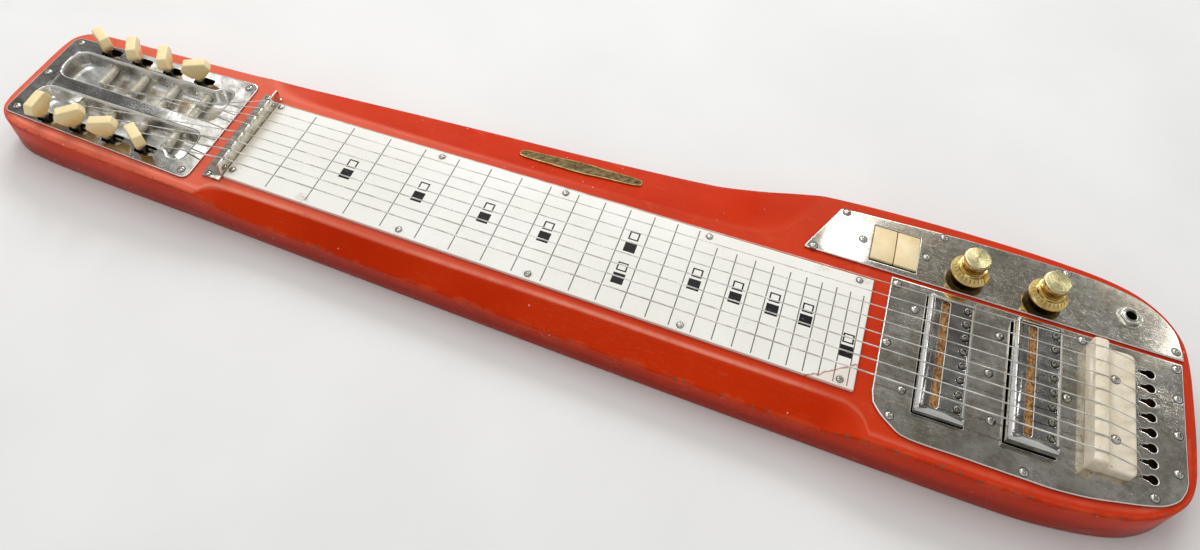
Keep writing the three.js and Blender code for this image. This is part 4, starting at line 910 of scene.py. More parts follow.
def body_skin(line, walls, rounding):
    """Rings from the floor up the wall, over the edge and down the bevels to the flat deck."""
    skin = Skin()
    ways = inward(line)
    creases, ends, leans = [], [], []
    for p, way in zip(line, ways):
        side = "far" if p.y > 0 else "near"
        land, slope = bevel_at(side, p.x, walls[side](p.x))
        crease = p + way * RIM_WIDTH
        table = BEVELS[side]["land"]
        if table[0][0] < p.x / SCALE_LENGTH < table[-1][0] and land < abs(p.y) - RIM_WIDTH:
            crease = Vector((p.x, math.copysign(land, p.y)))
        lean = math.atan(slope)
        creases.append(crease)
        leans.append(lean)
        ends.append(p + way * rounding * (1 - math.sin(lean)))

    def over_top(spots, **marks):
        return skin.ring([(s.x, s.y, surface(s.x, s.y, walls)) for s in spots], **marks)
    foot = 1.2
    rings = [skin.inset_ring(line, ways, inset, z, edge_wear=0.7)
             for inset, z in [(foot, 0.0), (0.35, 0.35), (0.0, foot)]]
    centres = [surface(e.x, e.y, walls) - rounding * math.cos(lean) for e, lean in zip(ends, leans)]
    for share in (0.35, 0.7):
        rings.append(skin.ring([(p.x, p.y, foot + (c - foot) * share) for p, c in zip(line, centres)]))
    for k in range(6):
        ring = []
        for p, way, lean, c in zip(line, ways, leans, centres):
            angle = (math.pi / 2 - lean) * k / 5
            spot = p + way * rounding * (1 - math.cos(angle))
            ring.append((spot.x, spot.y, c + rounding * math.sin(angle)))
        rings.append(skin.ring(ring, edge_wear=1.0))
    for share in (0.12, 0.3, 0.5, 0.7, 0.88):
        spots = [e.lerp(c, share) + (e - c).normalized() * CREASE * share for e, c in zip(ends, creases)]
        rings.append(over_top(spots, edge_wear=0.25 if share < 0.2 else 0.0))
    # Rings over the crease; the second number of each step marks where the paint lays its painted highlight
    for step, crease_highlight in ((-1, 0), (-0.5, 0.6), (0, 1), (0.5, 1), (1, 0.8), (1.6, 0.35), (2.6, 0)):
        spots = [c + (c - e).normalized() * CREASE * step for e, c in zip(ends, creases)]
        rings.append(over_top(spots, edge_wear=0.6, rubbed=crease_highlight))
    for k in rings[-1]:
        x, y, _ = skin.points[k]
        skin.points[k] = (x, y, DECK)
    skin.band(rings)
    skin.close(rings[0])
    return skin, rings[-1]


def hollow(skin, line, depth):
    """A pocket in the deck: rounded lip, wall and floor. Returns its mouth."""
    rings = skin.layers(facing(line, -1), [
        (0.8, DECK, 0), (0.5, DECK, 0), (0.15, DECK - 0.15, 0), (0, DECK - 0.5, 0),
        (0, DECK - 1.2, 1), (0, DECK - depth, 1)], "bare")
    skin.close(rings[-1])
    return rings[0]


def make_body(sizes):
    """Painted slab with a pocket under each plate and under the keyholes."""
    line = body_line()
    walls = {side: wall_at(line, sign) for side, sign in SIGNS.items()}
    skin, deck = body_skin(line, walls, sizes.edge_rounding * 1000)
    under_head_plate = rounded([(-166, -38, 2), (-157, -38.6, 4), (-25.5, -44.7, 1),
                                (-25.5, 44.7, 1), (-157, 38.6, 4), (-166, 38, 2)])
    neck, bridge = PICKUPS["neck"][0], PICKUPS["bridge"][0]
    under_pickups = block(neck - 18.7, bridge + 18.7, -43.5, 43.5, 3)
    under_controls = rounded([(392.2, 53.5, 3), (619, 53.5, 3), (600.1, 82.6, 3), (576.2, 90.6, 3),
                              (406.5, 89.7, 3)])
    under_keyholes = block(594.6, 608.6, -39.6, 39.6, 2.9)
    pockets = [(under_head_plate, 19.2), (under_pickups, 14), (under_controls, 21), (under_keyholes, 9)]
    mouths = [hollow(skin, shape, depth) for shape, depth in pockets]
    skin.close(deck, *mouths)
    piece = skin.object("painted_body", 50)
    settle(piece, "body", vermilion_paint(), ["body"])


# Plates

# Curved edges, by shares of the plate's length and width
PICKUP_PLATE = [(0.008, -0.72), (0.036, -0.82), (0.07, -0.9), (0.114, -0.975), (0.32, -0.993),
                (0.48, -1), (0.6, -1), (0.71, -0.965), (0.79, -0.915), (0.873, -0.858), (0.928, -0.8),
                (0.972, -0.7), (0.994, -0.58)]
CONTROL_PLATE = [(0.075, 0.888), (0.12, 0.915), (0.19, 0.934), (0.4, 0.989), (0.6, 1), (0.73, 0.978),
                 (0.816, 0.93), (0.9, 0.815), (0.95, 0.64), (0.983, 0.42), (0.998, 0.12)]
TROUGH_DEPTH = 13
KEYHOLE_RADIUS = 2.9


def trough_line(side):
    """Mouth of a pressed trough: straight along the posts, wider past the last one."""
    inner, outer = TROUGH_SPANS[side]
    left, right, wide = -165, -34, outer + 4.3
    corner = min(12, (outer - inner) * 0.45)
    line = rounded([(left, inner, corner), (right, inner, 8), (right, wide, 8), (-44.3, wide, 5),
                    (-48.2, outer, 5), (left, outer, corner)], 10)
    return facing([Vector((p.x, SIGNS[side] * p.y)) for p in line], 1)


def trough_rings(skin, line, walls, dish):
    """Rings down a trough's wall, then over its floor drawn in to the middle. Returns its mouth."""
    ways = inward(line)
    foot = [p + way * walls[-1][0] for p, way in zip(line, ways)]
    middle = sum(foot, Vector((0, 0))) / len(foot)
    rings = [skin.inset_ring(line, ways, inset, z, edge_wear=1.0 if 1 < k < 6 else 0.0,
                             satin=1.0 if k > 4 else 0.0) for k, (inset, z) in enumerate(walls)]
    for along, across, z in dish:
        rings.append(skin.ring([(middle.x + (p.x - middle.x) * along,
                                 middle.y + (p.y - middle.y) * across, z) for p in foot], satin=1.0))
    skin.band(rings)
    skin.close(rings[-1])
    return rings[0]


def make_head_plate():
    """Sheet with two pressed troughs, a slot for each shaft and a hole for each post."""
    skin = Skin()
    outer = rounded([(-175, -39.5, 6), (-21.5, -46.5, 6), (-21.5, 46.5, 6), (-175, 39.5, 6)], 8)
    rim = skin.layers(outer, [
        (0.8, PLATE_BASE, 0), (0, PLATE_BASE, 0), (0, PLATE_TOP - 0.45, 1),
        (0.13, PLATE_TOP - 0.13, 1), (0.45, PLATE_TOP, 1), (0.8, PLATE_TOP, 0)])
    floor = PLATE_TOP - TROUGH_DEPTH
    upper = [(-1.9, PLATE_TOP), (-1.4, PLATE_TOP), (-0.95, PLATE_TOP - 0.08), (-0.5, PLATE_TOP - 0.3),
             (-0.15, PLATE_TOP - 0.75), (0.0, PLATE_TOP - 1.4), (0.5, PLATE_TOP - 5), (1.0, floor + 4.2),
             (1.5, floor + 2.9), (2.3, floor + 1.7), (3.3, floor + 0.95)]
    upper_dish = [(0.98, 0.82, floor + 0.3), (0.95, 0.6, floor)]
    under = [(-1.7, PLATE_BASE), (-1.1, PLATE_BASE - 0.6), (-0.6, PLATE_TOP - 5), (-0.05, floor + 4),
             (0.5, floor + 2.2), (1.4, floor + 0.7), (2.6, floor - 0.1)]
    under_dish = [(0.98, 0.8, floor - 0.75), (0.95, 0.6, floor - 1.1)]
    mouths, undersides = [], []
    for side in ROWS:
        line = even_spacing(trough_line(side), 1.6)
        mouths.append(trough_rings(skin, line, upper, upper_dish))
        undersides.append(trough_rings(skin, line, under, under_dish))
    skin.close(rim[-1], *mouths)
    skin.close(rim[0], *undersides)
    piece = skin.object("pressed_head_plate", 40)
    cutters = []
    for side, row in ROWS.items():
        sign = SIGNS[side]
        for x in SHAFTS:
            opening = block(x - 4.5, x + 10.5, row - 4.05, row + 4.05, 2.7)
            cutters.append(slab("slot_cutter", opening, 30, 34, 0.01, steps=1))
            bar = Skin()
            add_lathe(bar, [(3.3, 0), (3.3, 14)], 24)
            bar.turn(Matrix.Translation((x + POST_SHIFT, row - sign * 13.5, POST_AXIS))
                     @ Matrix.Rotation(-sign * math.pi / 2, 4, "X"))
            cutters.append(bar.object("post_cutter"))
    cut_out(piece, cutters)
    smooth_below(piece.data, 40)
    chrome = pitted_chrome("head_chrome", tint(196, 195, 192), tint(132, 129, 122), 0.7, 0.8,
                           (-162.7, -0.06))
    settle(piece, "body", chrome, ["head_plate"])


def keyhole(y):
    """A round hole drawn out into a narrow slit towards the bridge."""
    start, end = KEYHOLE_X
    line = [Vector((start - 0.9, y + 0.9)), Vector((start - 1.3, y)), Vector((start - 0.9, y - 0.9))]
    for k in range(-12, 13):
        angle = math.pi * 0.82 * k / 12
        line.append(Vector((end + KEYHOLE_RADIUS * math.cos(angle),
                            y + KEYHOLE_RADIUS * math.sin(angle))))
    return line


def make_plates():
    """The plate round the pickups and the plate of the controls, each with its openings."""
    chrome = pitted_chrome("plate_chrome", tint(218, 213, 203), tint(166, 158, 142))
    pale = pitted_chrome("control_chrome", tint(218, 214, 204), tint(168, 160, 144), 0.7, 1.6)
    front, back, far = 443.5, 623, 48.5
    edge = open_curve(PICKUP_PLATE, front, back - front, 60, 6)
    outline = [Vector((front + 0.4, far)), Vector((front, far - 0.4)), Vector((front, -36)), *edge,
               Vector((back, -30)), Vector((back, far - 0.4)), Vector((back - 0.4, far))]
    holes = [block(x - 15.2, x + 15.2, -42.4, 42.4, 0.8) for x, _ in PICKUPS.values()]
    holes += [keyhole(string_row(i, BRIDGE_SPACING)) for i in range(STRINGS)]
    plate = slab("pickup_chrome_plate", outline, PLATE_BASE, PLATE_TOP, 0.5, holes, 0.35)
    settle(plate, "body", chrome, ["pickup_plate"])
    front, back, near = 385, 624, 51.5
    edge = [Vector((p.x, near + p.y)) for p in open_curve(CONTROL_PLATE, front, back - front, 44.5, 6)]
    outline = [Vector((front + 0.2, near + 1.8)), Vector((front, near + 0.5)),
               Vector((front + 0.6, near)), Vector((back - 0.4, near)), Vector((back, near + 0.5)),
               *edge[::-1]]
    x, y = SWITCH
    holes = [block(x - 15.5, x + 15.5, y - 15, y + 15, 0.6), circle(*JACK, 4.9)]
    holes += [circle(x, KNOB_ROW, 4.9) for x in KNOBS.values()]
    plate = slab("control_chrome_plate", outline, PLATE_BASE, PLATE_TOP, 0.5, holes, 0.3)
    settle(plate, "body", pale, ["control_plate"])


# Tuners

TEETH, WHEEL_RADIUS, WORM_RADIUS = 14, 5, 3
WORM_PITCH = 2 * math.pi * WHEEL_RADIUS / TEETH
BUTTON_BASE = 38.05


def make_button(side, number, label, finish):
    """Keystone with rounded rims, standing on a short collar."""
    skin = Skin()
    face = rounded([(-4.6, 0, 1.2), (4.6, 0, 1.2), (10.5, 7.3, 2.2), (7.4, 14, 1.6), (-7.4, 14, 1.6),
                    (-10.5, 7.3, 2.2)], 5)
    add_slab(skin, face, -3.5, 3.5, 1.0, both=True, steps=4)
    skin.turn(Matrix.Rotation(math.pi / 2, 4, "X"))
    add_lathe(skin, [(3.3, -1.2), (3.6, -0.9), (3.6, -0.1), (3.2, 0.4)], 24)
    angle = math.radians(BUTTON_ANGLES[side][number])
    skin.turn(Matrix.Translation((SHAFTS[number], ROWS[side], BUTTON_BASE))
              @ Matrix.Rotation(angle, 4, "Z"))
    piece = skin.object(f"keystone_button_{label}", 32)
    settle(piece, f"tuner_key_{label}", finish, [f"tuner_button_{label}"])


def make_worm(side, number, label, finish):
    """Shaft with a single-start thread, and a collar under the button."""
    skin = Skin()
    add_lathe(skin, [(1.2, -12), (1.5, -11.8), (1.5, -10.7), (2.1, -10.6), (2.1, 10.3), (3.4, 10.5),
                     (3.5, 10.8), (3.5, 11.9), (3.2, 12.3), (2.1, 12.5), (2.1, 22)], 24)
    turns, steps = 2.75, 24
    rings = []
    for k in range(int(turns * steps) + 1):
        wound = k / steps - turns / 2
        angle = 2 * math.pi * wound
        taper = min(1, k / 6, (turns * steps - k) / 6)
        tip = 2.0 + 1.6 * max(taper, 0.05)
        thread = [(1.95, -0.68), (tip, -0.22), (tip, 0.22), (1.95, 0.68)]
        rings.append(skin.ring([(r * math.cos(angle), r * math.sin(angle), WORM_PITCH * wound + z)
                                for r, z in thread]))
    skin.band(rings)
    skin.faces += [tuple(rings[0]), tuple(rings[-1])]
    skin.turn(Matrix.Translation((SHAFTS[number], ROWS[side], POST_AXIS)))
    piece = skin.object(f"threaded_shaft_{label}", 40)
    settle(piece, f"tuner_key_{label}", finish, [f"worm_shaft_{label}"])


def gear_teeth(skin):
    """The wheel's teeth, twisted to the thread's slope."""
    slope = WORM_PITCH / (2 * math.pi * WORM_RADIUS * WHEEL_RADIUS)
    rings = []
    for z, tip in ((-1.5, 5.35), (-1.3, 5.6), (0, 5.6), (1.3, 5.6), (1.5, 5.35)):
        flank = [(4.1, -0.145), (4.4, -0.12), (tip, -0.036), (tip, 0.036), (4.4, 0.12), (4.1, 0.145)]
        ring = []
        for i in range(TEETH):
            middle = 2 * math.pi * (i + 0.5) / TEETH + slope * z
            ring += [(r * math.cos(middle + turn), r * math.sin(middle + turn), z) for r, turn in flank]
        rings.append(skin.ring(ring))
    skin.band(rings)
    skin.close(rings[0])
    skin.close(rings[-1])


def make_post(side, number, label, finish):
    """Post across its trough: thinner where the string winds on, with the worm's wheel at its end."""
    sign, row = SIGNS[side], abs(ROWS[side])
    reach = row - TROUGH_SPANS[side][0] - 2.2
    winding = row - WINDINGS[side][number]
    skin = Skin()
    add_lathe(skin, [(1.7, -1.8), (2, -1.6), (2, 1.5), (2.9, 1.7), (3, 2), (3, winding - 3.6),
                     (DRUM_RADIUS, winding - 3.1), (DRUM_RADIUS - 0.05, winding + 3.1),
                     (3, winding + 3.6), (3, reach - 0.6),
                     (2.8, reach - 0.35), (2, reach - 0.3), (2, reach + 2.9), (1.8, reach + 3.2)], 28)
    gear_teeth(skin)
    skin.turn(Matrix.Translation((SHAFTS[number] + POST_SHIFT, ROWS[side], POST_AXIS))
              @ Matrix.Rotation(sign * math.pi / 2, 4, "X") @ Matrix.Rotation(math.pi, 4, "Z"))
    piece = skin.object(f"turned_post_{label}", 38)
    settle(piece, f"post_{label}", finish, [f"string_post_{label}"])


def make_tuners():
    """Eight buttons, threaded shafts and posts, and the rails that carry them."""
    cream = button_cream()
    steel = plain_metal("tuner_steel", tint(168, 160, 140), tint(84, 74, 56), (0.28, 0.5), 3)
    post = plain_metal("post_nickel", tint(240, 236, 222), tint(206, 196, 172), (0.28, 0.5), 6, 0.3)
    for side in ROWS:
        for number in range(len(SHAFTS)):
            label = f"{side}_{number + 1}"
            make_button(side, number, label, cream)
            make_worm(side, number, label, steel)
            make_post(side, number, label, post)
        dress(f"tuner_rail_{side}", steel)


def dress(node, finish):
    """A plain CAD solid whose shape is kept gets its finish."""
    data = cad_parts[node].data
    if not data.materials:
        data.materials.append(finish)
    for k in range(len(data.materials)):
        data.materials[k] = finish


# Nut, board and name plate

def make_nut():
    """Chromed angle with its edges softened."""
    piece = soft_copy("nut", "nut_angle", 0.3)
    chrome = plain_metal("nut_chrome", tint(226, 223, 214), tint(170, 162, 144), (0.06, 0.22), 5)
    settle(piece, "body", chrome, ["nut"])


def make_board():
    """White sheet under the strings, a little wider at the tail."""
    line = rounded([(0.3, -36, 2), (433, -41, 0.6), (433, 41, 0.6), (0.3, 36, 2)], 6)
    piece = slab("printed_board", line, PLATE_BASE, BOARD_TOP, 0.35)
    settle(piece, "body", white_board(), ["fretboard"])


def make_name_plate():
    """A bare lozenge with a raised rim and two pins, lying on the far bevel."""
    far = wall_at(body_line(), 1)

    def spot(x):
        land, slope = bevel_at("far", x, far(x))
        return Vector((x, (land + far(x)) / 2, DECK - slope * (far(x) - land) / 2))
    left, middle, right = 180, 222.5, 268
    _, slope = bevel_at("far", middle, far(middle))
    along = (spot(right) - spot(left)).normalized()
    down = Vector((0, 1, -slope)).normalized()
    up = along.cross(down).normalized()
    across = up.cross(along).normalized()
    place = Matrix((along, across, up)).transposed().to_4x4()
    place.translation = spot(middle) + up * 0.42
    length, width = 90, 13.8
    half = [(0, 0.16), (0.012, 0.25), (0.06, 0.35), (0.18, 0.39), (0.3, 0.42), (0.38, 0.46), (0.44, 0.5)]
    shares = half + [(1 - x, y) for x, y in half[::-1]]
    upper = [Vector(((x - 0.5) * length, y * width)) for x, y in shares]
    outline = [Vector((p.x, -p.y)) for p in upper] + upper[::-1]
    skin = Skin()
    rings = skin.layers(outline, [(0, 0, 1), (0, 0.75, 1), (0.12, 0.92, 1), (0.3, 1, 1), (0.75, 1, 1),
                                  (0.95, 0.8, 0.4), (1.15, 0.62, 0)], "rim")
    skin.close(rings[0])
    skin.close(rings[-1])
    for x in (-40.5, 40.5):
        add_lathe(skin, [(0.95, 0.3), (0.95, 1.0), (0.8, 1.25), (0.45, 1.4)], 14, (x, 0, 0))
    skin.turn(place)
    piece = skin.object("bare_name_plate", 35)
    settle(piece, "body", aged_brass(), ["name_plate"])


# Pickups and bridge

# From a pickup's middle to its long slot and to its row of pole screws
SLOT_SHIFT, POLE_SHIFT = -4.2, 9
HEAD_SIDES = 20


def make_cover(label, finish):
    """Pressed cap: wide chamfers, a long slot over the coil and eight holes for the screws."""
    x, rise = PICKUPS[label]
    high = PLATE_TOP + rise
    skin = Skin()
    rings = skin.layers(block(x - 14.75, x + 14.75, -42, 42, 1.0, 4), [
        (0, 17.2, 0), (0, high - 3, 0), (0, high - 2.6, 0.7), (0.15, high - 2.2, 0.75),
        (2.0, high - 0.3, 1), (2.45, high - 0.06, 1), (2.9, high, 0), (3.4, high, 0)])
    slot = x + SLOT_SHIFT
    holes = [block(slot - 2.4, slot + 2.4, -38, 38, 2.3, 6)]
    holes += [circle(x + POLE_SHIFT, string_row(i, BRIDGE_SPACING), 2.45, 20) for i in range(STRINGS)]
    lip = [(0.6, high, 0), (0.48, high, 0), (0.16, high - 0.12, 1), (0, high - 0.45, 1),
           (0, high - 1.4, 0)]
    mouths = [skin.layers(facing(line, -1), lip)[0] for line in holes]
    skin.close(rings[-1], *mouths)
    piece = skin.object(f"pickup_cap_{label}", 35)
    wall = piece.modifiers.new("sheet", "SOLIDIFY")
    wall.thickness = 0.55
    wall.offset = -1
    finish_modifiers(piece)
    settle(piece, "body", finish, [f"pickup_cover_{label}"])


def screw_head(name, radius, rise, slot, cross=True, dish=False):
    """Head with a cut slot or a cross recess, domed or dished, as a shape to repeat."""
    skin = Skin()
    crown = ([(0.97, 0.6), (0.88, 0.95), (0.76, 1.0), (0.64, 0.7), (0.5, 0.42), (0.12, 0.4)] if dish
             else [(0.9, 0.5), (0.7, 0.84), (0.4, 1.0), (0.12, 1.02)])
    skirt = [(radius * 1.2, -0.1), (radius * 1.2, 0.05), (radius * 1.04, 0.08), (radius * 0.98, 0.2)]
    add_lathe(skin, skirt + [(radius * out, rise * up) for out, up in crown], HEAD_SIDES)
    # Painted shade: the rings round the head's foot, and the dish's hollow, are marked to be drawn dark
    shaded_rings = [0, 1, 2] + ([7, 8, 9] if dish else [])
    skin.marks["grime"] = {ring * HEAD_SIDES + k: 1.0 for ring in shaded_rings for k in range(HEAD_SIDES)}
    head = skin.object(name, 40)
    cutters = []
    long = radius * (0.62 if cross else 1.2)
    for turn in ((0, 1) if cross else (0,)):
        cut = block(-long, long, -slot / 2, slot / 2, 0.02, 1)
        bar = slab("recess", cut, rise * 0.35, rise * 2, 0.01, steps=1)
        bar.data.transform(Matrix.Rotation(turn * math.pi / 2, 4, "Z"))
        # Painted shade: the recess walls this cutter leaves are marked to be drawn dark
        grime = bar.data.attributes.new("grime", "FLOAT", "POINT")
        grime.data.foreach_set("value", [1.0] * len(bar.data.vertices))
        cutters.append(bar)
    cut_out(head, cutters)
    smooth_below(head.data, 40)
    return head


def new_tree(name, sockets):
    """A node tree that takes and gives geometry, with named inputs by their kinds."""
    tree = bpy.data.node_groups.new(name, "GeometryNodeTree")
    tree.interface.new_socket(name="Geometry", in_out="INPUT", socket_type="NodeSocketGeometry")
    keys = {label: tree.interface.new_socket(
        name=label, in_out="INPUT", socket_type="NodeSocket" + kind).identifier
        for label, kind in sockets.items()}
    tree.interface.new_socket(name="Geometry", in_out="OUTPUT", socket_type="NodeSocketGeometry")
    return tree, keys, tree.nodes.new("NodeGroupInput").outputs


def end_tree(tree, geometry, material):
    """Makes the repeated shapes real, gives them their finish and hands them out."""
    real = add_node(tree, "GeometryNodeRealizeInstances", {"Geometry": geometry})
    dressed = add_node(tree, "GeometryNodeSetMaterial", {
        "Geometry": real.outputs[0], "Material": material})
    add_node(tree, "NodeGroupOutput", {0: dressed.outputs[0]})


def run_tree(piece, tree, keys, values):
    """Runs the node tree on the piece with its inputs set by name, and keeps the mesh it makes."""
    modifier = piece.modifiers.new(tree.name, "NODES")
    modifier.node_group = tree
    for label, value in values.items():
        modifier[keys[label]] = value
    finish_modifiers(piece)
    bpy.data.node_groups.remove(tree)


def heads_tree():
    """Sets a head on every point, turned at random by a fixed seed."""
    tree, keys, given = new_tree("heads_on_points", {
        "Head": "Object", "Finish": "Material", "Seed": "Int", "Turn": "Float"})
    shape = add_node(tree, "GeometryNodeObjectInfo", {"Object": given["Head"]})
    spin = add_node(tree, "FunctionNodeRandomValue", {"Max": given["Turn"], "Seed": given["Seed"]},
                    data_type="FLOAT")
    angle = next(socket for socket in spin.outputs if socket.enabled)
    turned = add_node(tree, "ShaderNodeCombineXYZ", {"Z": angle})
    heads = add_node(tree, "GeometryNodeInstanceOnPoints", {
        "Points": given["Geometry"], "Instance": shape.outputs["Geometry"],
        "Rotation": turned.outputs[0]})
    end_tree(tree, heads.outputs[0], given["Finish"])
    return tree, keys


def set_heads(name, places, head, finish, seed):
    """One piece of many small heads at the places given."""
    piece = mesh_object(name, places)
    tree, keys = heads_tree()
    run_tree(piece, tree, keys, {"Head": head, "Finish": finish, "Seed": seed, "Turn": math.pi})
    return piece


def make_pickups():
    """Two caps with their coils, pole screws and dished heads."""
    chrome = pitted_chrome("pickup_chrome", tint(188, 187, 184), tint(116, 112, 106), 0.9, 0.8)
    ochre = wound_coil()
    steel = plain_metal("pole_steel", tint(196, 190, 178), tint(104, 94, 78), (0.16, 0.4), 3)
    head = screw_head("pole_head", 2.0, 0.9, 0.5, cross=False, dish=True)
    for label, (x, rise) in PICKUPS.items():
        make_cover(label, chrome)
        dress(f"pickup_coil_{label}", ochre)
        dress(f"pole_screws_{label}", steel)
        places = [(x + POLE_SHIFT, string_row(i, BRIDGE_SPACING), PLATE_TOP + rise + 0.15)
                  for i in range(STRINGS)]
        heads = set_heads(f"pole_heads_{label}", places, head, steel, len(label))
        settle(heads, "body", steel)
    bpy.data.objects.remove(head)


def make_bridge():
    """Block with rounded rims, and a raised ridge across it whose ends are drawn in."""
    base, front, top = BRIDGE_BASE, BRIDGE_FRONT, BRIDGE_BASE + RIDGE_RISE
    skin = Skin()
    add_slab(skin, block(front + 3, front + 26.4, -41, 39.5, 4.5, 8), base, base + STEP_RISE, 1.3,
             steps=4)
    ridge = [(front, base), (front + 9, base), (front + 9, top - 2), (front + 8.4, top - 0.7),
             (front + 7, top), (front + 2, top), (front + 0.6, top - 0.7), (front, top - 2)]
    ends = [(-41.5, 1.6), (-41.1, 0.6), (-40.2, 0.0), (40.2, 0.0), (41.1, 0.6), (41.5, 1.6)]
    middle = Vector((front + 4.5, base + 5))
    rings = []
    for y, pull in ends:
        ring = []
        for x, z in ridge:
            step = (middle - Vector((x, z))).normalized() * pull
            ring.append((x + step.x, y, z + (step.y if z > base + 1 else 0)))
        rings.append(skin.ring(ring))
    skin.band(rings)
    skin.faces += [tuple(rings[0]), tuple(rings[-1])]
    piece = skin.object("moulded_bridge", 30)
    settle(piece, "body", marbled_cream(), ["bridge"])


# Strings

WIRE_SIDES = 8
NUT_NOTCH = DECK + 11.3
BALL_RADIUS, BALL_HEIGHT = 1.2, 27.6


def tube_tree():
    """A round tube along every edge path, its ends closed."""
    tree, keys, given = new_tree("wire_on_paths", {
        "Radius": "Float", "Sides": "Int", "Finish": "Material"})
    path = add_node(tree, "GeometryNodeMeshToCurve", {"Mesh": given["Geometry"]})
    ring = add_node(tree, "GeometryNodeCurvePrimitiveCircle", {
        "Resolution": given["Sides"], "Radius": given["Radius"]}, mode="RADIUS")
    tube = add_node(tree, "GeometryNodeCurveToMesh", {
        "Curve": path.outputs[0], "Profile Curve": ring.outputs[0], "Fill Caps": True})
    smooth = add_node(tree, "GeometryNodeSetShadeSmooth", {0: tube.outputs[0]})
    end_tree(tree, smooth.outputs[0], given["Finish"])
    return tree, keys


def wire(name, paths, radius, finish):
    """One piece of round wire along the paths."""
    points, edges = [], []
    for path in paths:
        start = len(points)
        points.extend(tuple(p) for p in path)
        edges.extend((start + k, start + k + 1) for k in range(len(path) - 1))
    piece = mesh_object(name, points, edges)
    tree, keys = tube_tree()
    run_tree(piece, tree, keys, {"Radius": radius, "Sides": WIRE_SIDES, "Finish": finish})
    return piece


def eased(route, reach):
    """The route with each corner rounded over the reach."""
    route = [Vector(spot) for spot in route]
    line = [route[0]]
    for before, here, after in zip(route, route[1:], route[2:]):
        into, out = before - here, after - here
        run = min(reach, into.length * 0.45, out.length * 0.45)
        line += corner_points(here, into, out, run, 5)
    return line + [route[-1]]


def make_string(number, radius, finish):
    """A string from its post over nut and bridge to its keyhole, and its turns on the post."""
    side, slot = ("near", 3 - number) if number < 4 else ("far", number - 4)
    sign = SIGNS[side]
    post_x = SHAFTS[slot] + POST_SHIFT
    winding = WINDINGS[side][slot] * sign
    nut_y, bridge_y = string_row(number, NUT_SPACING), string_row(number, BRIDGE_SPACING)
    ridge = BRIDGE_BASE + RIDGE_RISE + radius
    step = BRIDGE_BASE + STEP_RISE + radius + 0.1
    drum = DRUM_RADIUS + radius
    hole_x = KEYHOLE_X[0]
    route = [(post_x, winding, POST_AXIS + drum), (-0.8, nut_y, NUT_NOTCH + radius),
             (BRIDGE_FRONT + 3, bridge_y, ridge), (BRIDGE_FRONT + 7.6, bridge_y, ridge - 0.25),
             (BRIDGE_FRONT + 26.2, bridge_y, step + 0.2), (hole_x - 0.4, bridge_y, PLATE_TOP + 0.5),
             (hole_x + 1.6, bridge_y, 28.4)]
    ball = [(hole_x + 2.6 + BALL_RADIUS * math.cos(angle), bridge_y,
             BALL_HEIGHT + BALL_RADIUS * math.sin(angle))
            for angle in (2 * math.pi * k / 13 for k in range(14))]
    piece = wire(f"wire_string_{number + 1}", [eased(route, 2.2), ball], radius, finish)
    settle(piece, "body", finish, [f"string_{number + 1}"])
    coil = []
    turns, steps = 3 + (number * 5) % 3, 20
    for k in range(turns * steps + 1):
        angle = 2 * math.pi * k / steps
        shift = (k / steps) * radius * 2.15 * sign
        coil.append((post_x + drum * math.sin(angle), winding - shift,
                     POST_AXIS + drum * math.cos(angle)))
    coil.append(Vector(coil[-1]) + Vector((1.5, -sign, 2.4)))
    wound = wire(f"wound_turns_{number + 1}", [coil], radius, finish)
    settle(wound, f"post_{side}_{slot + 1}", finish)


def make_strings(sizes):
    """Eight strings, thinner from the near side to the far one."""
    finish = string_wire()
    thick, thin = sizes.thickest_string * 500, sizes.thinnest_string * 500
    for number in range(STRINGS):
        share = number / (STRINGS - 1)
        make_string(number, thick + (thin - thick) * share ** 0.8, finish)


# Controls

KNOB_SIDES = 120


def make_knob(label, finish):
    """Turned knob: a cap with fine circles cut in its face, over a skirt with ticks round it."""
    x = KNOBS[label]
    skin = Skin()
    foot = PLATE_TOP + 2.4
    profile = [(9.6, 0), (10.0, 0.1), (10.3, 0.4), (11.7, 2.6), (12.1, 3.0), (12.32, 3.4), (12.35, 3.8),
               (12.2, 4.2), (11.9, 4.45), (11.6, 4.7), (10.3, 6.1), (9.4, 7.1), (9.15, 7.4), (9.0, 7.8),
               (8.95, 9.2), (8.7, 9.6), (7.6, 9.8), (7.3, 10.1), (7.2, 14.6), (7.4, 15.0), (8.1, 15.3),
               (8.4, 15.7), (8.45, 16.2), (8.45, 17.9), (8.38, 18.4), (8.15, 18.8), (7.8, 18.95), (7.5, 19)]
    cuts, period = 11, 0.62
    for k in range(1, cuts * 4):
        profile.append((7.5 - k * period / 4, 19 + 0.024 * math.sin(k * math.pi / 2)))
    add_lathe(skin, profile, KNOB_SIDES, (x, KNOB_ROW, foot))
    slope_rings, shaded_foot_rings = (10, 11), range(5)
    # Printed ticks on the slope, and painted shade all round the rings at the skirt's foot
    skin.marks["tick"] = {
        **{ring * KNOB_SIDES + k: 1.0 for ring in slope_rings for k in range(0, KNOB_SIDES, 5)},
        **{ring * KNOB_SIDES + k: 0.9 for ring in shaded_foot_rings for k in range(KNOB_SIDES)}}
    add_lathe(skin, [(2.9, -8.5), (2.9, 0.3)], 20, (x, KNOB_ROW, foot))
    piece = skin.object(f"turned_{label}_knob", 34)
    settle(piece, f"{label}_knob_turned", finish, [f"{label}_knob"])


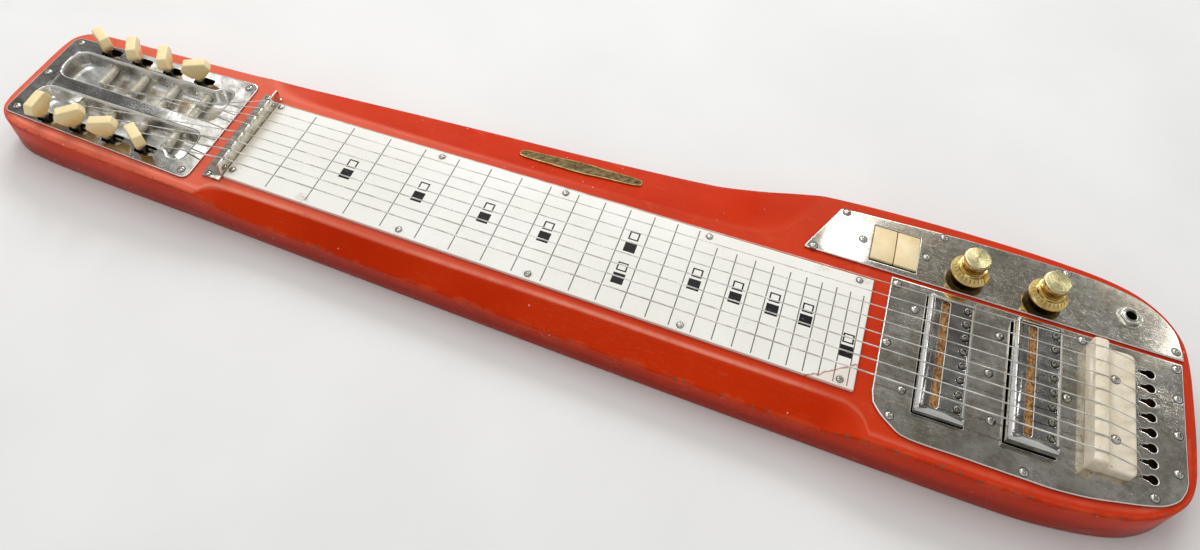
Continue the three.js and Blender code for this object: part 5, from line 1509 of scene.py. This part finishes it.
def make_controls():
    """Two knobs, two rocker tabs and the jack."""
    gold = gold_plate()
    steel = plain_metal("control_steel", tint(160, 156, 146), tint(96, 88, 74), (0.25, 0.5), 5)
    for label in KNOBS:
        make_knob(label, gold)
        dress(f"{label}_pot", steel)
    cream = tab_cream()
    for end in ("head", "tail"):
        tab = soft_copy(f"rocker_tab_{end}", f"rocking_tab_{end}", 0.35, 3)
        settle(tab, f"rocker_{end}", cream, [f"rocker_tab_{end}"])
    dress("switch_box", dark_moulding())
    make_jack()
    dress("jack_frame", steel)


def make_jack():
    """Washer, six-sided nut and the open end of the bush."""
    chrome = plain_metal("jack_chrome", tint(224, 222, 213), tint(152, 147, 132), (0.1, 0.3), 4)
    skin = Skin()
    x, y = JACK
    washer_top, nut_top = PLATE_TOP + 0.75, PLATE_TOP + 3.0
    add_slab(skin, circle(x, y, 8.2, 40), PLATE_TOP + 0.02, washer_top, 0.25, [circle(x, y, 4.7, 40)], 0.1)
    corners = [(x + 6.9 * math.cos(a), y + 6.9 * math.sin(a), 0.5)
               for a in (math.pi / 3 * k + 0.2 for k in range(6))]
    add_slab(skin, rounded(corners, 3), washer_top, nut_top, 0.45, [circle(x, y, 4.65, 40)], 0.1)
    add_slab(skin, circle(x, y, 4.6, 40), 22.2, nut_top + 0.35, 0.35, [circle(x, y, 3.35, 40)], 0.5)
    bush = skin.object("jack_nut_and_bush", 32)
    settle(bush, "body", chrome, ["jack_bush"])


# Small screws

NUT_SCREW_BASE = 32.76


def make_screws():
    """The small screws, by plate."""
    chrome = plain_metal("screw_chrome", tint(236, 234, 228), tint(150, 142, 128), (0.08, 0.3), 2.5)
    head = screw_head("oval_head", 2.5, 1.15, 0.62)
    small = screw_head("board_head", 2.0, 0.9, 0.5)
    groups = [
        ("plate_screws", PLATE_SCREWS + HEAD_SCREWS, PLATE_TOP, head),
        ("board_screws", BOARD_SCREWS, BOARD_TOP, small),
        ("nut_screws", NUT_SCREWS, NUT_SCREW_BASE, small),
        ("bridge_screws", BRIDGE_SCREWS, BRIDGE_BASE + STEP_RISE, head)]
    for seed, (name, spots, base, shape) in enumerate(groups):
        piece = set_heads(name, [(x, y, base + 0.02) for x, y in spots], shape, chrome, seed + 3)
        settle(piece, "body", chrome)
    bpy.data.objects.remove(head)
    bpy.data.objects.remove(small)


# Floor, light and camera

FLOOR_HALF = 3200
# Small soft lamps over the back of the scene: place, size and share of the key power
GLARE_HEIGHT, GLARE_AIM = 1.31, 0.4
GLARES = [
    ("back_lamp_head", (-0.9, 1.55), (0.9, 0.6), 1.3),
    ("back_lamp_tail", (0.3, 1.55), (0.6, 0.5), 0.48),
    ("glare_head", (-1.2, 0.8), (0.2, 0.5), 0.07),
    ("glare_switch", (0.345, 1.05), (0.1, 0.1), 0.013),
    ("glare_knob_head", (0.02, 1.07), (0.16, 0.1), 0.048),
    ("glare_knob_tail", (1.27, 1.2), (0.16, 0.16), 0.07),
    ("glare_edge", (0.99, 1.17), (0.3, 0.04), 0.015),
    ("glare_corner", (1.11, 1.08), (0.04, 0.16), 0.008)]
# The camera as the spacing of the fret lines in the photograph gives it
CAMERA_PLACE = (0.1256, -0.34474, 0.5427)
CAMERA_RIGHT = Vector((0.94285858, 0.33011295, 0.04520113))
CAMERA_DOWN = Vector((0.28349418, -0.72352649, -0.62939691))
CAMERA_AHEAD = Vector((-0.17506786, 0.60624653, -0.77576826))
CAMERA_LENS, CAMERA_SHIFT = 28.05, -0.0958


def make_floor():
    """Wide pale floor."""
    f = Finish("pale_floor")
    cloud = f.noise(160, 3)
    f.colour = f.blend(f.window(cloud, 0.3, 0.7), tint(232, 232, 230), tint(238, 238, 236))
    f.use(Roughness=f.window(cloud, 0.2, 0.8, 0.7, 0.85), Normal=f.relief(f.noise(3, 3), 0.05))
    skin = Skin()
    ring = skin.ring([(x * FLOOR_HALF, y * FLOOR_HALF, -0.3)
                      for x, y in ((-1, -1), (1, -1), (1, 1), (-1, 1))])
    skin.faces.append(tuple(ring))
    floor = skin.object("studio_floor")
    floor.data.transform(Matrix.Scale(0.001, 4))
    floor.data.materials.append(f.material)


def make_world(strength):
    """Plain light from all sides, seen by the camera and in mirrors as a soft pale backdrop."""
    world = bpy.data.worlds.new("studio")
    bpy.context.scene.world = world
    world.use_nodes = True
    tree = world.node_tree
    tree.nodes.clear()
    rays = add_node(tree, "ShaderNodeLightPath").outputs
    seen = rays["Is Camera Ray"]
    for more in ("Is Glossy Ray", "Is Transmission Ray"):
        seen = add_node(tree, "ShaderNodeMath", {0: seen, 1: rays[more]}, operation="MAXIMUM").outputs[0]
    room = add_node(tree, "ShaderNodeBackground", {"Color": (1, 1, 1, 1), "Strength": strength})
    where = add_node(tree, "ShaderNodeTexCoord")
    parts = add_node(tree, "ShaderNodeSeparateXYZ", {0: where.outputs["Generated"]})
    shade = add_node(tree, "ShaderNodeValToRGB", {0: parts.outputs["Z"]})
    shade.color_ramp.interpolation = "EASE"
    shade.color_ramp.elements.new(0.3)
    for stop, place, grey in zip(shade.color_ramp.elements, (0.02, 0.3, 0.8), (236, 186, 150)):
        stop.position = place
        stop.color = tint(grey, grey, grey)
    back = add_node(tree, "ShaderNodeBackground", {"Color": shade.outputs[0], "Strength": 1})
    mixed = add_node(tree, "ShaderNodeMixShader", {0: seen, 1: room.outputs[0], 2: back.outputs[0]})
    add_node(tree, "ShaderNodeOutputWorld", {"Surface": mixed.outputs[0]})


def add_lamp(name, place, aim, size, power):
    data = bpy.data.lights.new(name, "AREA")
    data.shape = "RECTANGLE"
    data.size, data.size_y = size
    data.energy = power
    lamp = add_object(name, data)
    lamp.location = place
    lamp.rotation_euler = (Vector(aim) - Vector(place)).to_track_quat("-Z", "Y").to_euler()


def add_camera():
    data = bpy.data.cameras.new("photo_camera")
    data.sensor_fit = "HORIZONTAL"
    data.sensor_width = 36
    data.lens = CAMERA_LENS
    data.shift_y = CAMERA_SHIFT
    data.clip_start = 0.01
    camera = add_object("photo_camera", data)
    turn = Matrix((CAMERA_RIGHT, -CAMERA_DOWN, -CAMERA_AHEAD)).transposed().to_4x4()
    turn.translation = CAMERA_PLACE
    camera.matrix_world = turn
    bpy.context.scene.camera = camera


# Settings, buttons and panel

class BodySizes(bpy.types.PropertyGroup):
    """Sizes of the painted slab."""
    edge_rounding: bpy.props.FloatProperty(
        name="Edge rounding", description="Radius of the slab's top edge", default=0.0021,
        min=0.0005, max=0.004, unit="LENGTH", precision=4)


class StringSizes(bpy.types.PropertyGroup):
    """Gauges of the string set."""
    thickest_string: bpy.props.FloatProperty(
        name="Thickest string", description="Diameter of the lowest string", default=0.00100,
        min=0.0003, max=0.002, unit="LENGTH", precision=5)
    thinnest_string: bpy.props.FloatProperty(
        name="Thinnest string", description="Diameter of the highest string", default=0.00055,
        min=0.0002, max=0.002, unit="LENGTH", precision=5)


class FinishColours(bpy.types.PropertyGroup):
    """Colours a user would change."""
    paint: bpy.props.FloatVectorProperty(
        name="Paint", description="Main colour of the painted body", subtype="COLOR", size=4,
        min=0, max=1, default=tint(203, 48, 5))
    paint_deep: bpy.props.FloatVectorProperty(
        name="Deep paint", description="Darker tone in the paint's uneven places", subtype="COLOR", size=4,
        min=0, max=1, default=tint(189, 39, 4))


class StudioLight(bpy.types.PropertyGroup):
    """Strength of the studio's light."""
    room: bpy.props.FloatProperty(
        name="Room light", description="Even light from all sides", default=0.48, min=0, max=3)
    key: bpy.props.FloatProperty(
        name="Key lamps", description="Power of the soft lamp and of the row behind", default=10.8, min=0,
        max=500, unit="POWER")
    fill: bpy.props.FloatProperty(
        name="Fill lamp", description="Power of the lamp over the tail", default=0.3, min=0, max=500,
        unit="POWER")


class GUITAR_OT_body(bpy.types.Operator):
    """Makes the painted slab with its bevels and pockets"""
    bl_idname = "guitar.body"
    bl_label = "Painted body"

    def execute(self, context):
        make_body(context.scene.guitar_body)
        return {"FINISHED"}


class GUITAR_OT_head_plate(bpy.types.Operator):
    """Makes the pressed plate with its two troughs"""
    bl_idname = "guitar.head_plate"
    bl_label = "Head plate"

    def execute(self, context):
        make_head_plate()
        return {"FINISHED"}


class GUITAR_OT_tuners(bpy.types.Operator):
    """Makes the buttons, threaded shafts and string posts"""
    bl_idname = "guitar.tuners"
    bl_label = "Tuners"

    def execute(self, context):
        make_tuners()
        return {"FINISHED"}


class GUITAR_OT_nut(bpy.types.Operator):
    """Makes the chromed nut angle"""
    bl_idname = "guitar.nut"
    bl_label = "Nut"

    def execute(self, context):
        make_nut()
        return {"FINISHED"}


class GUITAR_OT_board(bpy.types.Operator):
    """Makes the printed white board"""
    bl_idname = "guitar.board"
    bl_label = "Fretboard"

    def execute(self, context):
        make_board()
        return {"FINISHED"}


class GUITAR_OT_plates(bpy.types.Operator):
    """Makes the pickup plate and the control plate"""
    bl_idname = "guitar.plates"
    bl_label = "Tail plates"

    def execute(self, context):
        make_plates()
        return {"FINISHED"}


class GUITAR_OT_pickups(bpy.types.Operator):
    """Makes the two pickups with their screws"""
    bl_idname = "guitar.pickups"
    bl_label = "Pickups"

    def execute(self, context):
        make_pickups()
        return {"FINISHED"}


class GUITAR_OT_bridge(bpy.types.Operator):
    """Makes the moulded bridge"""
    bl_idname = "guitar.bridge"
    bl_label = "Bridge"

    def execute(self, context):
        make_bridge()
        return {"FINISHED"}


class GUITAR_OT_controls(bpy.types.Operator):
    """Makes the knobs, rocker tabs and jack"""
    bl_idname = "guitar.controls"
    bl_label = "Controls"

    def execute(self, context):
        make_controls()
        return {"FINISHED"}


class GUITAR_OT_strings(bpy.types.Operator):
    """Strings the instrument"""
    bl_idname = "guitar.strings"
    bl_label = "Strings"

    def execute(self, context):
        make_strings(context.scene.guitar_strings)
        return {"FINISHED"}


class GUITAR_OT_name_plate(bpy.types.Operator):
    """Makes the bare brass plate"""
    bl_idname = "guitar.name_plate"
    bl_label = "Name plate"

    def execute(self, context):
        make_name_plate()
        return {"FINISHED"}


class GUITAR_OT_screws(bpy.types.Operator):
    """Sets the small screws"""
    bl_idname = "guitar.screws"
    bl_label = "Screws"

    def execute(self, context):
        make_screws()
        return {"FINISHED"}


class GUITAR_OT_stage(bpy.types.Operator):
    """Sets the floor, the light and the camera"""
    bl_idname = "guitar.stage"
    bl_label = "Studio"

    def execute(self, context):
        light = context.scene.guitar_light
        make_floor()
        make_world(light.room)
        add_lamp("soft_lamp", (-0.45, 0.2, 1.5), (0, 0, 0), (2.0, 1.0), light.key * 0.78)
        for name, (x, y), size, share in GLARES:
            add_lamp(name, (x, y, GLARE_HEIGHT), (x * GLARE_AIM, 0, 0), size, light.key * share)
        add_lamp("fill_lamp", (0.9, -0.8, 1.2), (0.1, 0, 0), (0.9, 0.7), light.fill)
        add_camera()
        context.scene.view_settings.view_transform = "Standard"
        return {"FINISHED"}


BUTTONS = [GUITAR_OT_body, GUITAR_OT_head_plate, GUITAR_OT_tuners, GUITAR_OT_nut, GUITAR_OT_board,
           GUITAR_OT_plates, GUITAR_OT_pickups, GUITAR_OT_bridge, GUITAR_OT_controls,
           GUITAR_OT_strings, GUITAR_OT_name_plate, GUITAR_OT_screws, GUITAR_OT_stage]


class GUITAR_PT_panel(bpy.types.Panel):
    """Lists what the instrument is made of"""
    bl_idname = "GUITAR_PT_panel"
    bl_label = "Lap steel guitar"
    bl_space_type = "VIEW_3D"
    bl_region_type = "UI"
    bl_category = "Lap steel"

    def draw(self, context):
        scene = context.scene
        for group, keys in ((scene.guitar_body, ["edge_rounding"]),
                            (scene.guitar_strings, ["thickest_string", "thinnest_string"]),
                            (scene.guitar_finishes, ["paint", "paint_deep"]),
                            (scene.guitar_light, ["room", "key", "fill"])):
            for key in keys:
                self.layout.prop(group, key)
        for button in BUTTONS:
            self.layout.operator(button.bl_idname)


GROUPS = {"guitar_body": BodySizes, "guitar_strings": StringSizes, "guitar_finishes": FinishColours,
          "guitar_light": StudioLight}


def register():
    for made in (*GROUPS.values(), *BUTTONS, GUITAR_PT_panel):
        bpy.utils.register_class(made)
    for name, group in GROUPS.items():
        setattr(bpy.types.Scene, name, bpy.props.PointerProperty(type=group))


def unregister():
    for name in GROUPS:
        delattr(bpy.types.Scene, name)
    for made in (GUITAR_PT_panel, *BUTTONS[::-1], *GROUPS.values()):
        bpy.utils.unregister_class(made)


def main():
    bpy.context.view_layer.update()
    register()
    for button in BUTTONS:
        getattr(bpy.ops.guitar, button.bl_idname.split(".")[1])()


if __name__ == "__main__":
    main()
